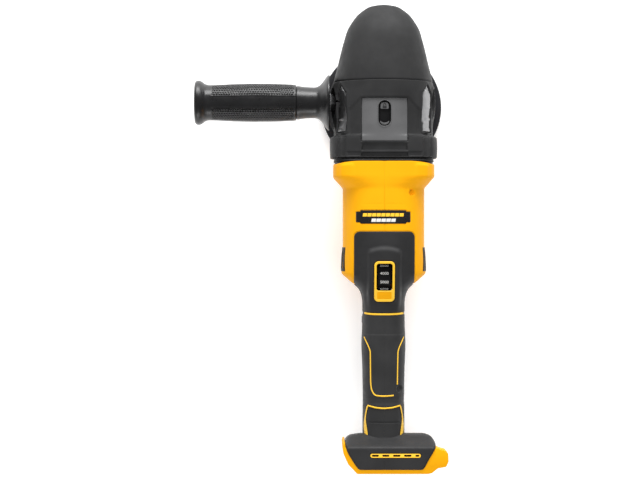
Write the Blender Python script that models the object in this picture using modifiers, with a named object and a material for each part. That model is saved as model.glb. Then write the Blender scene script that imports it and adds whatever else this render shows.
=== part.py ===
"""Cordless rotary polisher, built as an assembly. Metres, +Z up.

The origin is the centre of the backing pad's hook face. The spindle turns about +Z, the nose points to +Y,
the battery foot to -Y, and the side handle to -X. The motor lies along Y, MOTOR_Z above the pad face.
"""

import math

import bmesh
import bpy
from mathutils import Vector

MM = 0.001
GAP = 0.3 * MM  # clearance between neighbouring pieces

# Heights above the pad face
MOTOR_Z = 80 * MM
GEAR_CASE_FLOOR = 33 * MM
HOOK_THICKNESS = 2.6 * MM
CUSHION_THICKNESS = 9 * MM
PLATE_THICKNESS = 4 * MM

# Stations along Y
NOSE_TIP_Y = 99.4 * MM
COVER_SPLIT_Y = 21 * MM  # parting line between the nose cover and the gear case cover
COVER_REAR_Y = -56 * MM
HOUSING_FRONT_Y = -61 * MM
OVERMOLD_FRONT_Y = -186.1 * MM  # the housing steps down here, under the rubber
DIAL_COVER_FRONT_Y = -132 * MM
DIAL_COVER_REAR_Y = -213.5 * MM
FOOT_FRONT_Y = -336.5 * MM
FOOT_REAR_Y = -373 * MM
BASE_REAR_Y = -377 * MM

# Wall thicknesses
COVER_WALL = 3.2 * MM
HOUSING_WALL = 2.8 * MM
OVERMOLD_WALL = 2.0 * MM

PAD_RADIUS = 63.5 * MM
FOOT_HALF_DEPTH = 39 * MM
SPECK = 0.002 * MM  # points closer than this are merged after each Boolean
SPLIT_GAP = 0.15 * MM  # each clamshell half stops this far from the centre plane
AROUND = 18  # points round a lofted section
REACH_LOW = Vector((-0.08, -0.4, 0.02))  # corners of a box that holds the housing, for half-space cutters
REACH_HIGH = Vector((0.08, 0.11, 0.14))

# Bevel gear pair: the pitch cones meet at (0, 0, MOTOR_Z)
GEAR_TEETH = 35
PINION_TEETH = 9
MODULE = 1.6 * MM
FACE_WIDTH = 9 * MM

STATOR_RADIUS = 30 * MM

# Side handle
HANDLE_BOSS_X = 45.5 * MM
HANDLE_FLANGE_X = -54.6 * MM
HANDLE_END_X = -193.6 * MM

# Trigger
TRIGGER_PIVOT = Vector((0, -194.5 * MM, 64 * MM))
TRIGGER_HALF_WIDTH = 9.6 * MM

# Speed dial
DIAL_CENTRE = Vector((0, -177.5 * MM, 98.5 * MM))
DIAL_RADIUS = 16 * MM
DIAL_HALF_WIDTH = 6.4 * MM

LOCK_BUTTON_Y = -13.2 * MM

# Clamshell screws (Y, Z), driven along X from the right-hand side
SHELL_SCREWS = [(-92.4, 114), (-92.4, 46), (-286, 97), (-264, 63), (-318, 64)]
FLANGE_SCREW = Vector((36 * MM, 0, 27 * MM))  # from the motor axis
RETAINER_SCREW_RADIUS = 23.5 * MM

# Head outline, front to rear, in millimetres:
# y, half width, height of the widest line, top, bottom, squareness
HEAD_STATIONS = [
    (98.9, 7, 86, 89.5, 83, 2.0),
    (93.5, 20.8, 85, 98, 76, 2.1),
    (88.5, 27, 83, 103, 71.5, 2.15),
    (82, 32, 81, 108, 67, 2.2),
    (74, 36.8, 78, 112.8, 62.5, 2.25),
    (52, 43.3, 72, 120.5, 55, 2.3),
    (30, 48.9, 67, 124.3, 50.5, 2.3),
    (21, 51, 66, 125, 49.5, 2.3),
    (2, 53.4, 65, 124.6, 48.5, 2.3),
    (-12, 52.2, 66, 124, 48, 2.3),
    (-33.5, 50.6, 71, 123, 44, 2.6),
    (-35.5, 54.6, 73, 123, 42, 2.9),
    (-46, 54.8, 77, 122.6, 40, 3.2),
    (-56, 54.4, 79, 122.2, 38.5, 3.4),
]

# Motor housing and main handle, front to rear, in millimetres: y, half width, top, bottom, squareness
BODY_STATIONS = [
    (-61, 52.2, 122, 38, 4.0),
    (-76, 52.2, 122, 38, 4.0),
    (-82, 47.6, 121.6, 38.6, 3.2),
    (-89, 42.3, 121, 39, 2.6),
    (-143, 42.3, 120.6, 39.2, 2.6),
    (-160, 42.6, 118.6, 41, 2.6),
    (-173, 43, 115.6, 44.4, 2.6),
    (-180, 36.8, 113.6, 47.6, 2.6),
    (-186, 29.67, 111.92, 50.43, 2.6),
    (-186.3, 29.39, 111.83, 50.56, 2.6),
    (-191, 25, 110.5, 52.6, 2.6),
    (-198, 22.4, 108.6, 54.6, 2.6),
    (-206, 21.6, 107.2, 55.6, 2.6),
    (-246, 22.5, 106.2, 55, 2.6),
    (-272, 21.6, 105.6, 55, 2.6),
    (-326, 21.4, 104.4, 54.6, 2.6),
    (-345, 21.4, 104.4, 54.6, 2.6),
]

# Battery foot seen from above, anticlockwise from the rear left, in millimetres
FOOT_OUTLINE = [
    (-26.5, -373), (41, -373), (44, -369.5), (49.4, -355.9), (52.3, -350), (51.6, -344.5), (47.7, -338.6),
    (41.9, -336.5), (-25, -336.5), (-35.5, -338.4), (-39.2, -343), (-38.6, -352.5), (-34.4, -363.4),
]

# Yellow battery base seen from above, anticlockwise from the rear left, in millimetres
BASE_OUTLINE = [
    (-27.5, -377), (43.5, -377), (47.5, -375.8), (53.6, -369.7), (62, -368.2), (64.4, -363), (64, -355),
    (61.5, -352), (56, -350.6), (53.6, -351), (45.2, -370.4), (41.9, -373.4), (-27, -373.4), (-35.2, -363.2),
    (-39.5, -352.2), (-40, -345), (-41.3, -344.5), (-42.2, -348.5), (-40.9, -356), (-36.4, -366.8),
]


# ---------------------------------------------------------------- scene helpers


def clear_scene():
    for obj in list(bpy.data.objects):
        bpy.data.objects.remove(obj)


def new_collection(name):
    made = bpy.data.collections.new(name)
    bpy.context.scene.collection.children.link(made)
    return made


clear_scene()
TOOL = new_collection("rotary_polisher")


def material(name, colour, roughness, metallic=0.0):
    made = bpy.data.materials.new(name)
    made.use_nodes = True
    shader = made.node_tree.nodes["Principled BSDF"]
    shader.inputs["Base Color"].default_value = (*colour, 1)
    shader.inputs["Roughness"].default_value = roughness
    shader.inputs["Metallic"].default_value = metallic
    return made


YELLOW = material("yellow_nylon", (0.93, 0.49, 0.01), 0.38)
RUBBER = material("black_rubber", (0.045, 0.045, 0.047), 0.6)
BLACK = material("black_nylon", (0.03, 0.03, 0.032), 0.45)
ALUMINIUM = material("die_cast_aluminium", (0.55, 0.56, 0.57), 0.4, 1.0)
STEEL = material("steel", (0.42, 0.42, 0.43), 0.35, 1.0)
COPPER = material("copper_winding", (0.72, 0.33, 0.14), 0.4, 1.0)
FOAM = material("pad_foam", (0.06, 0.06, 0.065), 0.9)
LABEL = material("label_plate", (0.02, 0.02, 0.022), 0.4)
BOARD = material("potting_compound", (0.05, 0.09, 0.06), 0.6)


def as_node(obj, mat):
    """Makes obj a finished piece of the tool."""
    obj.data.materials.clear()
    obj.data.materials.append(mat)
    return obj


def object_from(bm, name):
    bmesh.ops.recalc_face_normals(bm, faces=bm.faces)
    mesh = bpy.data.meshes.new(name)
    bm.to_mesh(mesh)
    bm.free()
    obj = bpy.data.objects.new(name, mesh)
    TOOL.objects.link(obj)
    return obj


def pivot(name, at):
    """An empty on a joint's axis, which the moving pieces hang from."""
    empty = bpy.data.objects.new(name, None)
    empty.location = at
    TOOL.objects.link(empty)
    return empty


def hang(obj, empty):
    """Parents obj to an empty that stands on its joint's axis, and leaves it where it is."""
    obj.parent = empty
    obj.location = obj.location - empty.location
    return obj


def boolean(target, tool, operation):
    """Applies one Boolean and removes its tool, then merges the specks that rounding leaves."""
    modifier = target.modifiers.new("boolean", "BOOLEAN")
    modifier.operation = operation
    modifier.solver = "EXACT"
    modifier.object = tool
    depsgraph = bpy.context.evaluated_depsgraph_get()
    mesh = bpy.data.meshes.new_from_object(target.evaluated_get(depsgraph))
    bm = bmesh.new()
    bm.from_mesh(mesh)
    bmesh.ops.remove_doubles(bm, verts=bm.verts, dist=SPECK)
    bmesh.ops.dissolve_degenerate(bm, edges=bm.edges, dist=SPECK)
    bmesh.ops.holes_fill(bm, edges=[edge for edge in bm.edges if edge.is_boundary], sides=0)
    bmesh.ops.delete(bm, geom=[edge for edge in bm.edges if edge.is_wire], context="EDGES")
    bmesh.ops.dissolve_limit(bm, angle_limit=math.radians(0.05), verts=bm.verts, edges=bm.edges)
    bm.to_mesh(mesh)
    bm.free()
    target.modifiers.clear()
    target.data = mesh
    bpy.data.objects.remove(tool)
    return target


def cut(target, *tools):
    for tool in tools:
        boolean(target, tool, "DIFFERENCE")
    return target


def join(target, *tools):
    for tool in tools:
        boolean(target, tool, "UNION")
    return target


def keep(target, *tools):
    for tool in tools:
        boolean(target, tool, "INTERSECT")
    return target


# ---------------------------------------------------------------- basic shapes


def block(name, low, high):
    """A box between two corners."""
    bm = bmesh.new()
    bmesh.ops.create_cube(bm, size=1)
    low, high = Vector(low), Vector(high)
    for vert in bm.verts:
        vert.co = Vector(low[k] if vert.co[k] < 0 else high[k] for k in range(3))
    return object_from(bm, name)


def rod(name, start, end, radius, end_radius=None, sides=20):
    """A cylinder or cone from start to end."""
    start, end = Vector(start), Vector(end)
    bm = bmesh.new()
    bmesh.ops.create_cone(
        bm,
        cap_ends=True,
        segments=sides,
        radius1=radius,
        radius2=radius if end_radius is None else end_radius,
        depth=(end - start).length,
    )
    obj = object_from(bm, name)
    obj.rotation_euler = (end - start).to_track_quat("Z", "Y").to_euler()
    obj.location = (start + end) / 2
    return obj


def turned(name, profile, at, axis, steps=32):
    """A ring or shaft turned about axis through at. The profile is (radius, distance along axis) pairs."""
    area = sum(a[0] * b[1] - b[0] * a[1] for a, b in zip(profile, profile[1:] + profile[:1]))
    if area > 0:  # the screw wants the outer side to run downwards
        profile = profile[::-1]
    mesh = bpy.data.meshes.new(name)
    count = len(profile)
    mesh.from_pydata([(r, 0, h) for r, h in profile], [(i, (i + 1) % count) for i in range(count)], [])
    obj = bpy.data.objects.new(name, mesh)
    TOOL.objects.link(obj)
    screw = obj.modifiers.new("turn", "SCREW")
    screw.steps = screw.render_steps = steps
    screw.use_merge_vertices = True
    screw.merge_threshold = 0.00001
    obj.rotation_euler = Vector(axis).to_track_quat("Z", "Y").to_euler()
    obj.location = at
    return obj


def shaft(name, steps_along, at, axis, steps=24):
    """A solid stepped shaft: (radius, start, end) for each step, in order along the axis."""
    profile = []
    for radius, start, end in steps_along:
        profile += [(radius, start), (radius, end)]
    bm = bmesh.new()
    rings = []
    for radius, along in profile:
        angles = [2 * math.pi * i / steps for i in range(steps)]
        rings.append([bm.verts.new((radius * math.cos(a), radius * math.sin(a), along)) for a in angles])
    skin(bm, rings)
    obj = object_from(bm, name)
    obj.rotation_euler = Vector(axis).to_track_quat("Z", "Y").to_euler()
    obj.location = at
    return obj


def skin(bm, rings, closed=True):
    """Quads between successive rings of verts, and a cap on each end if closed."""
    count = len(rings[0])
    for lower, upper in zip(rings, rings[1:]):
        for i in range(count):
            j = (i + 1) % count
            bm.faces.new((lower[i], lower[j], upper[j], upper[i]))
    if closed:
        bm.faces.new(rings[0])
        bm.faces.new(rings[-1])
    else:
        for i in range(count):
            j = (i + 1) % count
            bm.faces.new((rings[-1][i], rings[-1][j], rings[0][j], rings[0][i]))


def loft(name, rings):
    """A closed solid through rings of points. Its sides are triangles, because Booleans need flat faces."""
    bm = bmesh.new()
    skin(bm, [[bm.verts.new(p) for p in ring] for ring in rings])
    bmesh.ops.triangulate(bm, faces=[face for face in bm.faces if len(face.verts) == 4])
    return object_from(bm, name)


def prism(name, outline, along, low, high):
    """A flat outline extruded along the axis with that letter. The outline uses the other two axes."""
    index = "XYZ".index(along)

    def place(point, level):
        values = list(point)
        values.insert(index, level)
        return values

    return loft(name, [[place(p, level) for p in outline] for level in (low, high)])


def superellipse(half_width, up, down, power, count=AROUND):
    """Points round a rounded-square section, as (across, height) from its widest line."""
    points = []
    for i in range(count):
        angle = 2 * math.pi * (i + 0.5) / count
        c, s = math.cos(angle), math.sin(angle)
        across = half_width * math.copysign(abs(c) ** (2 / power), c)
        height = (up if s > 0 else down) * math.copysign(abs(s) ** (2 / power), s)
        points.append((across, height))
    return points


def capsule_outline(length, width, sides=8):
    """A slot with round ends, centred on the origin and long along its first axis."""
    radius, reach = width / 2, (length - width) / 2
    points = []
    for end, start in ((1, -math.pi / 2), (-1, math.pi / 2)):
        for i in range(sides + 1):
            angle = start + math.pi * i / sides
            points.append((end * reach + radius * math.cos(angle), radius * math.sin(angle)))
    return points


def rounded_rectangle(width, height, radius, sides=5):
    """A rectangle with round corners, centred on the origin."""
    points = []
    for x, y, start in ((1, 1, 0), (-1, 1, 90), (-1, -1, 180), (1, -1, 270)):
        for i in range(sides + 1):
            angle = math.radians(start + 90 * i / sides)
            points.append(
                (
                    x * (width / 2 - radius) + radius * math.cos(angle),
                    y * (height / 2 - radius) + radius * math.sin(angle),
                )
            )
    return points


def inset(outline, distance):
    """An outline shrunk about its middle, so that its extremes move inwards by distance."""
    middle, half = [], []
    for k in (0, 1):
        low, high = min(p[k] for p in outline), max(p[k] for p in outline)
        middle.append((low + high) / 2)
        half.append((high - low) / 2)
    return [tuple(middle[k] + (p[k] - middle[k]) * (1 - distance / half[k]) for k in (0, 1)) for p in outline]


# ---------------------------------------------------------------- shared lofts


def body(name, depth_at):
    """The motor housing and handle as one loft, sunk by depth_at(y) below the outer surface."""
    rings = []
    for y, half_width, top, bottom, power in BODY_STATIONS:
        depth = depth_at(y * MM)
        up, down = (top * MM - MOTOR_Z) - depth, (MOTOR_Z - bottom * MM) - depth
        rings.append(
            [
                (across, y * MM, MOTOR_Z + height)
                for across, height in superellipse(half_width * MM - depth, up, down, power)
            ]
        )
    return loft(name, rings)


def head(name, depth):
    """The head as one loft, sunk by depth below the outer surface."""
    shrink = 1 - depth / (46 * MM)
    front_shrink = (NOSE_TIP_Y - COVER_SPLIT_Y - depth) / (NOSE_TIP_Y - COVER_SPLIT_Y)
    rings = []
    for y, half_width, widest, top, bottom, power in HEAD_STATIONS:
        along = y * MM
        if along > COVER_SPLIT_Y:
            along = COVER_SPLIT_Y + (along - COVER_SPLIT_Y) * front_shrink
        section = superellipse(
            half_width * MM * shrink, (top - widest) * MM * shrink, (widest - bottom) * MM * shrink, power
        )
        rings.append([(across, along, widest * MM + height) for across, height in section])
    return loft(name, rings)


def foot(name, depth):
    """The battery foot's block with chamfered ends, sunk by depth."""
    chamfer = 5 * MM
    outline = [(x * MM, y * MM) for x, y in FOOT_OUTLINE]
    rings = []
    for level, extra in (
        (-FOOT_HALF_DEPTH + depth, chamfer),
        (-FOOT_HALF_DEPTH + chamfer + depth / 2, 0),
        (FOOT_HALF_DEPTH - chamfer - depth / 2, 0),
        (FOOT_HALF_DEPTH - depth, chamfer),
    ):
        rings.append([(x, y, MOTOR_Z + level) for x, y in inset(outline, depth + extra)])
    return loft(name, rings)


def half_space(name, axis, limit, side):
    """A large box that covers everything on one side of a plane."""
    low, high = REACH_LOW.copy(), REACH_HIGH.copy()
    index = "XYZ".index(axis)
    if side > 0:
        low[index] = limit
    else:
        high[index] = limit
    return block(name, low, high)


# ---------------------------------------------------------------- housing halves


def housing_depth(y):
    return OVERMOLD_WALL + GAP if y < OVERMOLD_FRONT_Y else 0


def inner_depth(y):
    return housing_depth(y) + HOUSING_WALL


def dial_cover_region(name, grow):
    """The zone of the top that the dial cover takes up."""
    return block(
        name,
        (-31.3 * MM - grow, DIAL_COVER_REAR_Y - grow, 84 * MM - grow),
        (31.3 * MM + grow, DIAL_COVER_FRONT_Y + grow, 140 * MM),
    )


def badge_region(name, grow):
    return block(
        name,
        (-28.7 * MM - grow, -123.8 * MM - grow, 100 * MM),
        (26.1 * MM + grow, -110.6 * MM + grow, 140 * MM),
    )


def intake_region(name, side, grow):
    """The side window that an intake screen closes."""
    low = (30 * MM, -172.5 * MM - grow, 58 * MM - grow)
    high = (50 * MM, -147 * MM + grow, 100 * MM + grow)
    if side < 0:
        low, high = (-high[0], low[1], low[2]), (-low[0], high[1], high[2])
    return block(name, low, high)


def battery_channel(name):
    """The space that the battery's rails slide into: open at the foot's end and to the left."""
    neck = block(f"{name}_neck", (-80 * MM, -400 * MM, 50 * MM), (36 * MM, -368 * MM, 110 * MM))
    room = block(name, (-79 * MM, -371 * MM, 46.5 * MM), (36.5 * MM, -362.5 * MM, 113.5 * MM))
    return join(room, neck)


def foot_slots(name, top):
    """Five air slots in a row through one face of the foot."""
    level = MOTOR_Z + (FOOT_HALF_DEPTH if top else -FOOT_HALF_DEPTH)
    slots = []
    for i, (start, end) in enumerate(((-12.8, -5), (-2, 4.8), (8, 16), (19.6, 27.6), (31, 35.4))):
        slots.append(
            block(
                f"{name}_{i}",
                (start * MM, -358 * MM, level - 8 * MM),
                (end * MM, -356.2 * MM, level + 8 * MM),
            )
        )
    return slots


def trigger_slot(name, grow):
    return block(
        name,
        (-10 * MM - grow, -252 * MM - grow, 30 * MM),
        (10 * MM + grow, -189.6 * MM + grow, 67.5 * MM),
    )


def lock_on_hole(name, radius):
    return rod(name, (-30 * MM, -222 * MM, 66 * MM), (-8 * MM, -222 * MM, 66 * MM), radius, sides=14)


def screw_boss(name, y, z, side):
    start, end = (side * 0.2 * MM, y * MM, z * MM), (side * 50 * MM, y * MM, z * MM)
    boss = rod(name, start, end, 3.6 * MM, sides=12)
    return keep(boss, body("boss_limit", lambda along: housing_depth(along) + 0.4 * MM))


def motor_rib(side, y):
    """Half a ring that carries the stator inside the housing."""
    bore = STATOR_RADIUS + 0.5 * MM
    section = [(bore, y), (39 * MM, y), (39 * MM, y + 3 * MM), (bore, y + 3 * MM)]
    rib = turned("rib", section, (0, 0, MOTOR_Z), (0, 1, 0), 24)
    return keep(
        rib, body("rib_limit", lambda along: 0.4 * MM), half_space("rib_side", "X", side * 0.2 * MM, side),
    )


def flange_boss(side, level):
    """Boss for a gear case screw, with a web out to the housing's wall."""
    at = Vector((side * FLANGE_SCREW.x, HOUSING_FRONT_Y, MOTOR_Z + level * FLANGE_SCREW.z))
    boss = rod("flange_boss", at, at - Vector((0, 16 * MM, 0)), 5 * MM, sides=12)
    x_low, x_high = sorted((at.x, side * 53 * MM))
    z_low, z_high = at.z - 2 * MM, at.z + 2 * MM
    join(boss, block("web", (x_low, at.y - 15 * MM, z_low), (x_high, at.y - 0.5 * MM, z_high)))
    keep(boss, body("boss_limit", lambda along: 0.4 * MM))
    return cut(
        boss, rod("flange_hole", at + Vector((0, MM, 0)), at - Vector((0, 13 * MM, 0)), 2.3 * MM, sides=8),
    )


def build_housing(side, label):
    """One half of the yellow clamshell: motor housing, handle core and foot core in one moulding."""
    shell = body(f"housing_{label}", housing_depth)
    join(shell, foot("foot_core", OVERMOLD_WALL + GAP))
    inside = body("housing_inside", inner_depth)
    join(inside, foot("foot_inside", OVERMOLD_WALL + GAP + HOUSING_WALL))
    cut(inside, half_space("end_wall", "Y", -359.7 * MM, -1))
    mouth = [(x, MOTOR_Z + z) for x, z in superellipse(49.2 * MM, 38.9 * MM, 38.9 * MM, 4.0, 28)]
    cut(shell, inside, prism("mouth", mouth, "Y", -74 * MM, -55 * MM))
    keep(shell, half_space("side", "X", side * SPLIT_GAP, side))
    join(shell, *(motor_rib(side, y * MM) for y in (-90, -121)))
    join(shell, *(flange_boss(side, level) for level in (-1, 1)))
    join(shell, *(screw_boss("boss", y, z, side) for y, z in SHELL_SCREWS))
    for y, z in SHELL_SCREWS:
        at = Vector((0, y * MM, z * MM))
        cut(
            shell,
            rod("pilot", at - Vector((12 * MM, 0, 0)), at + Vector((14 * MM, 0, 0)), 1.9 * MM, sides=8),
        )
        if side > 0:
            start, end = at + Vector((11.2 * MM, 0, 0)), at + Vector((60 * MM, 0, 0))
            cut(shell, rod("sink", start, end, 3.2 * MM, sides=10))
    sunk_cover = dial_cover_region("cover_recess", GAP)
    cut(sunk_cover, body("cover_floor", lambda y: OVERMOLD_WALL + GAP))
    sunk_badge = badge_region("badge_recess", GAP)
    cut(sunk_badge, body("badge_floor", lambda y: 1.0 * MM))
    cut(shell, sunk_cover, sunk_badge, intake_region("intake_hole", side, GAP))
    cut(shell, trigger_slot("trigger_gap", 0.5 * MM), battery_channel("channel"))
    cut(shell, block("terminal_hole", (3.7 * MM, -368 * MM, 57.7 * MM), (35.7 * MM, -350 * MM, 102.3 * MM)))
    cut(shell, *foot_slots("slot_top", True), *foot_slots("slot_low", False))
    dial_low, dial_high = DIAL_CENTRE.y - 20 * MM, DIAL_CENTRE.y + 20 * MM
    cut(shell, block("dial_room", (-8.4 * MM, dial_low, 90 * MM), (8.4 * MM, dial_high, 130 * MM)))
    if side < 0:
        cut(shell, lock_on_hole("lock_on_gap", 4.4 * MM))
    return as_node(shell, YELLOW)


def build_overmold(side, label):
    """One half of the soft black skin on the handle and foot."""
    skin_part = body(f"grip_overmold_{label}", lambda y: 0)
    join(skin_part, foot(f"foot_skin_{label}", 0))
    hollow = body(f"overmold_inside_{label}", lambda y: OVERMOLD_WALL)
    join(hollow, foot(f"foot_skin_inside_{label}", OVERMOLD_WALL))
    cut(skin_part, hollow, half_space(f"overmold_front_{label}", "Y", OVERMOLD_FRONT_Y - 0.5 * MM, 1))
    keep(skin_part, half_space(f"overmold_side_{label}", "X", side * SPLIT_GAP, side))
    cut(skin_part, dial_cover_region(f"overmold_cover_gap_{label}", GAP))
    cut(skin_part, trigger_slot(f"overmold_trigger_gap_{label}", 1.2 * MM))
    end = block(f"overmold_end_{label}", (-80 * MM, -400 * MM, 44 * MM), (80 * MM, -370 * MM, 116 * MM))
    cut(skin_part, end, battery_channel(f"overmold_channel_{label}"))
    for top in (True, False):
        level = MOTOR_Z + (FOOT_HALF_DEPTH if top else -FOOT_HALF_DEPTH)
        window = [(x + 11.3 * MM, y - 357.1 * MM) for x, y in capsule_outline(51.4 * MM, 4.8 * MM)]
        cut(skin_part, prism(f"slot_window_{label}_{top}", window, "Z", level - 8 * MM, level + 8 * MM))
    if side > 0:
        for i, (y, z) in enumerate(SHELL_SCREWS):
            if y * MM < OVERMOLD_FRONT_Y:
                cut(
                    skin_part,
                    rod(
                        f"skin_hole_{i}", (11 * MM, y * MM, z * MM), (60 * MM, y * MM, z * MM), 3.8 * MM,
                        sides=10,
                    ),
                )
    else:
        cut(skin_part, lock_on_hole("lock_on_skin_gap", 4.8 * MM))
    return as_node(skin_part, RUBBER)


def build_dial_cover():
    """Black cover on top, with the window for the speed dial."""
    cover = dial_cover_region("dial_cover", 0)
    keep(cover, body("cover_outer", lambda y: 0))
    cut(cover, body("cover_inner", lambda y: OVERMOLD_WALL))
    window = rounded_rectangle(21.3 * MM, 41.4 * MM, 4.6 * MM)
    cut(cover, prism("bezel_hole", [(x, y - 182 * MM) for x, y in window], "Z", 90 * MM, 140 * MM))
    return as_node(cover, BLACK)


def build_dial_bezel():
    """Yellow frame round the dial, following the slope of the cover, with a solid block behind the wheel."""
    outline = rounded_rectangle(20.6 * MM, 40.7 * MM, 4.3 * MM)
    frame = prism("dial_bezel", [(x, y - 182 * MM) for x, y in outline], "Z", 90 * MM, 140 * MM)
    keep(frame, body("bezel_top", lambda y: -0.6 * MM))
    cut(frame, body("bezel_bottom", lambda y: OVERMOLD_WALL))
    opening = rounded_rectangle(16.4 * MM, 27.4 * MM, 2.4 * MM)
    cut(frame, prism("bezel_window", [(x, y + DIAL_CENTRE.y) for x, y in opening], "Z", 80 * MM, 150 * MM))
    return as_node(frame, YELLOW)


def build_badge():
    plate = badge_region("name_badge", 0)
    keep(plate, body("badge_top", lambda y: -0.4 * MM))
    cut(plate, body("badge_bottom", lambda y: 0.7 * MM))
    return as_node(plate, LABEL)


def build_intake_screen(side, label):
    """Clip-in screen that keeps pad fluff out of the motor's air intake."""
    screen = intake_region(f"intake_screen_{label}", side, 0)
    keep(screen, body(f"screen_outer_{label}", lambda y: -1.2 * MM))
    cut(screen, body(f"screen_inner_{label}", lambda y: 1.8 * MM))
    for i in range(3):
        y = (-153 - 6.8 * i) * MM
        low, high = sorted((side * 30 * MM, side * 50 * MM))
        cut(screen, block(f"air_{label}_{i}", (low, y - 1.6 * MM, 62 * MM), (high, y + 1.6 * MM, 96 * MM)))
    return as_node(screen, BLACK)


def build_shell_screws():
    for i, (y, z) in enumerate(SHELL_SCREWS):
        steps = [(1.5 * MM, -11 * MM, 11.6 * MM), (2.7 * MM, 11.6 * MM, 14 * MM)]
        screw = shaft(f"housing_screw_{i + 1}", steps, (0, y * MM, z * MM), (1, 0, 0), steps=12)
        as_node(screw, STEEL)


def build_battery_base():
    """Yellow rail plate round the foot's end, with the stop tab and the two lips that hold the battery."""
    outline = [(x * MM, y * MM) for x, y in BASE_OUTLINE]
    base = prism("battery_base", outline, "Z", MOTOR_Z - 37 * MM, MOTOR_Z + 37 * MM)
    cut(base, battery_channel("base_channel"))
    end_opening = block("base_open_end", (-80 * MM, -372 * MM, 46.5 * MM), (-20 * MM, -340 * MM, 113.5 * MM))
    return as_node(cut(base, end_opening), YELLOW)


def build_terminal_block():
    """Black block at the closed end of the battery channel, with four blades in one comb."""
    body_block = block("terminal_block", (4 * MM, -362 * MM, 58 * MM), (35.4 * MM, -352.5 * MM, 102 * MM))
    for i in range(4):
        z = (66 + 9.3 * i) * MM
        join(
            body_block,
            block(f"blade_{i}", (12 * MM, -368.5 * MM, z - 0.5 * MM), (33 * MM, -359 * MM, z + 0.5 * MM)),
        )
    return as_node(body_block, BLACK)


# ---------------------------------------------------------------- head


def build_gear_case_cover():
    """Black cover over the gear case, open on both sides at the handle bosses."""
    cover = head("gear_case_cover", 0)
    rise = [((-23, 9), (23, 9), (23, -38), (-23, -38)), ((-21, 1), (21, 1), (22, -34), (-22, -34))]
    levels = (115 * MM, 126 * MM)
    join(cover, loft("rise", [[(x * MM, y * MM, z) for x, y in ring] for ring, z in zip(rise, levels)]))
    cut(cover, head("cover_hollow", COVER_WALL))
    cut(cover, half_space("cover_ahead", "Y", COVER_SPLIT_Y - 0.2 * MM, 1))
    cut(cover, half_space("cover_below", "Z", 56 * MM, -1))
    for side in (-1, 1):
        window = [(15, 93), (4, 106), (-32, 108), (-32, 66), (10, 66)]
        low, high = sorted((side * 30 * MM, side * 70 * MM))
        cut(cover, prism("side_window", [(y * MM, z * MM) for y, z in window], "X", low, high))
    slot = [(x, y + LOCK_BUTTON_Y) for y, x in capsule_outline(25.4 * MM, 12.4 * MM)]
    cut(cover, prism("button_slot", slot, "Z", 110 * MM, 140 * MM))
    return as_node(cover, RUBBER)


def build_nose_cover():
    """Black rubber nose that the palm rests on."""
    nose = head("nose_cover", 0)
    hollow = head("nose_hollow", COVER_WALL)
    cut(nose, cut(hollow, half_space("nose_solid_end", "Y", 62 * MM, 1)))
    keep(nose, half_space("nose_ahead", "Y", COVER_SPLIT_Y + 0.2 * MM, 1))
    opening = block("nose_floor_gap", (-60 * MM, -10 * MM, 30 * MM), (60 * MM, 43 * MM, 56 * MM))
    return as_node(cut(nose, opening), RUBBER)


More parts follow.
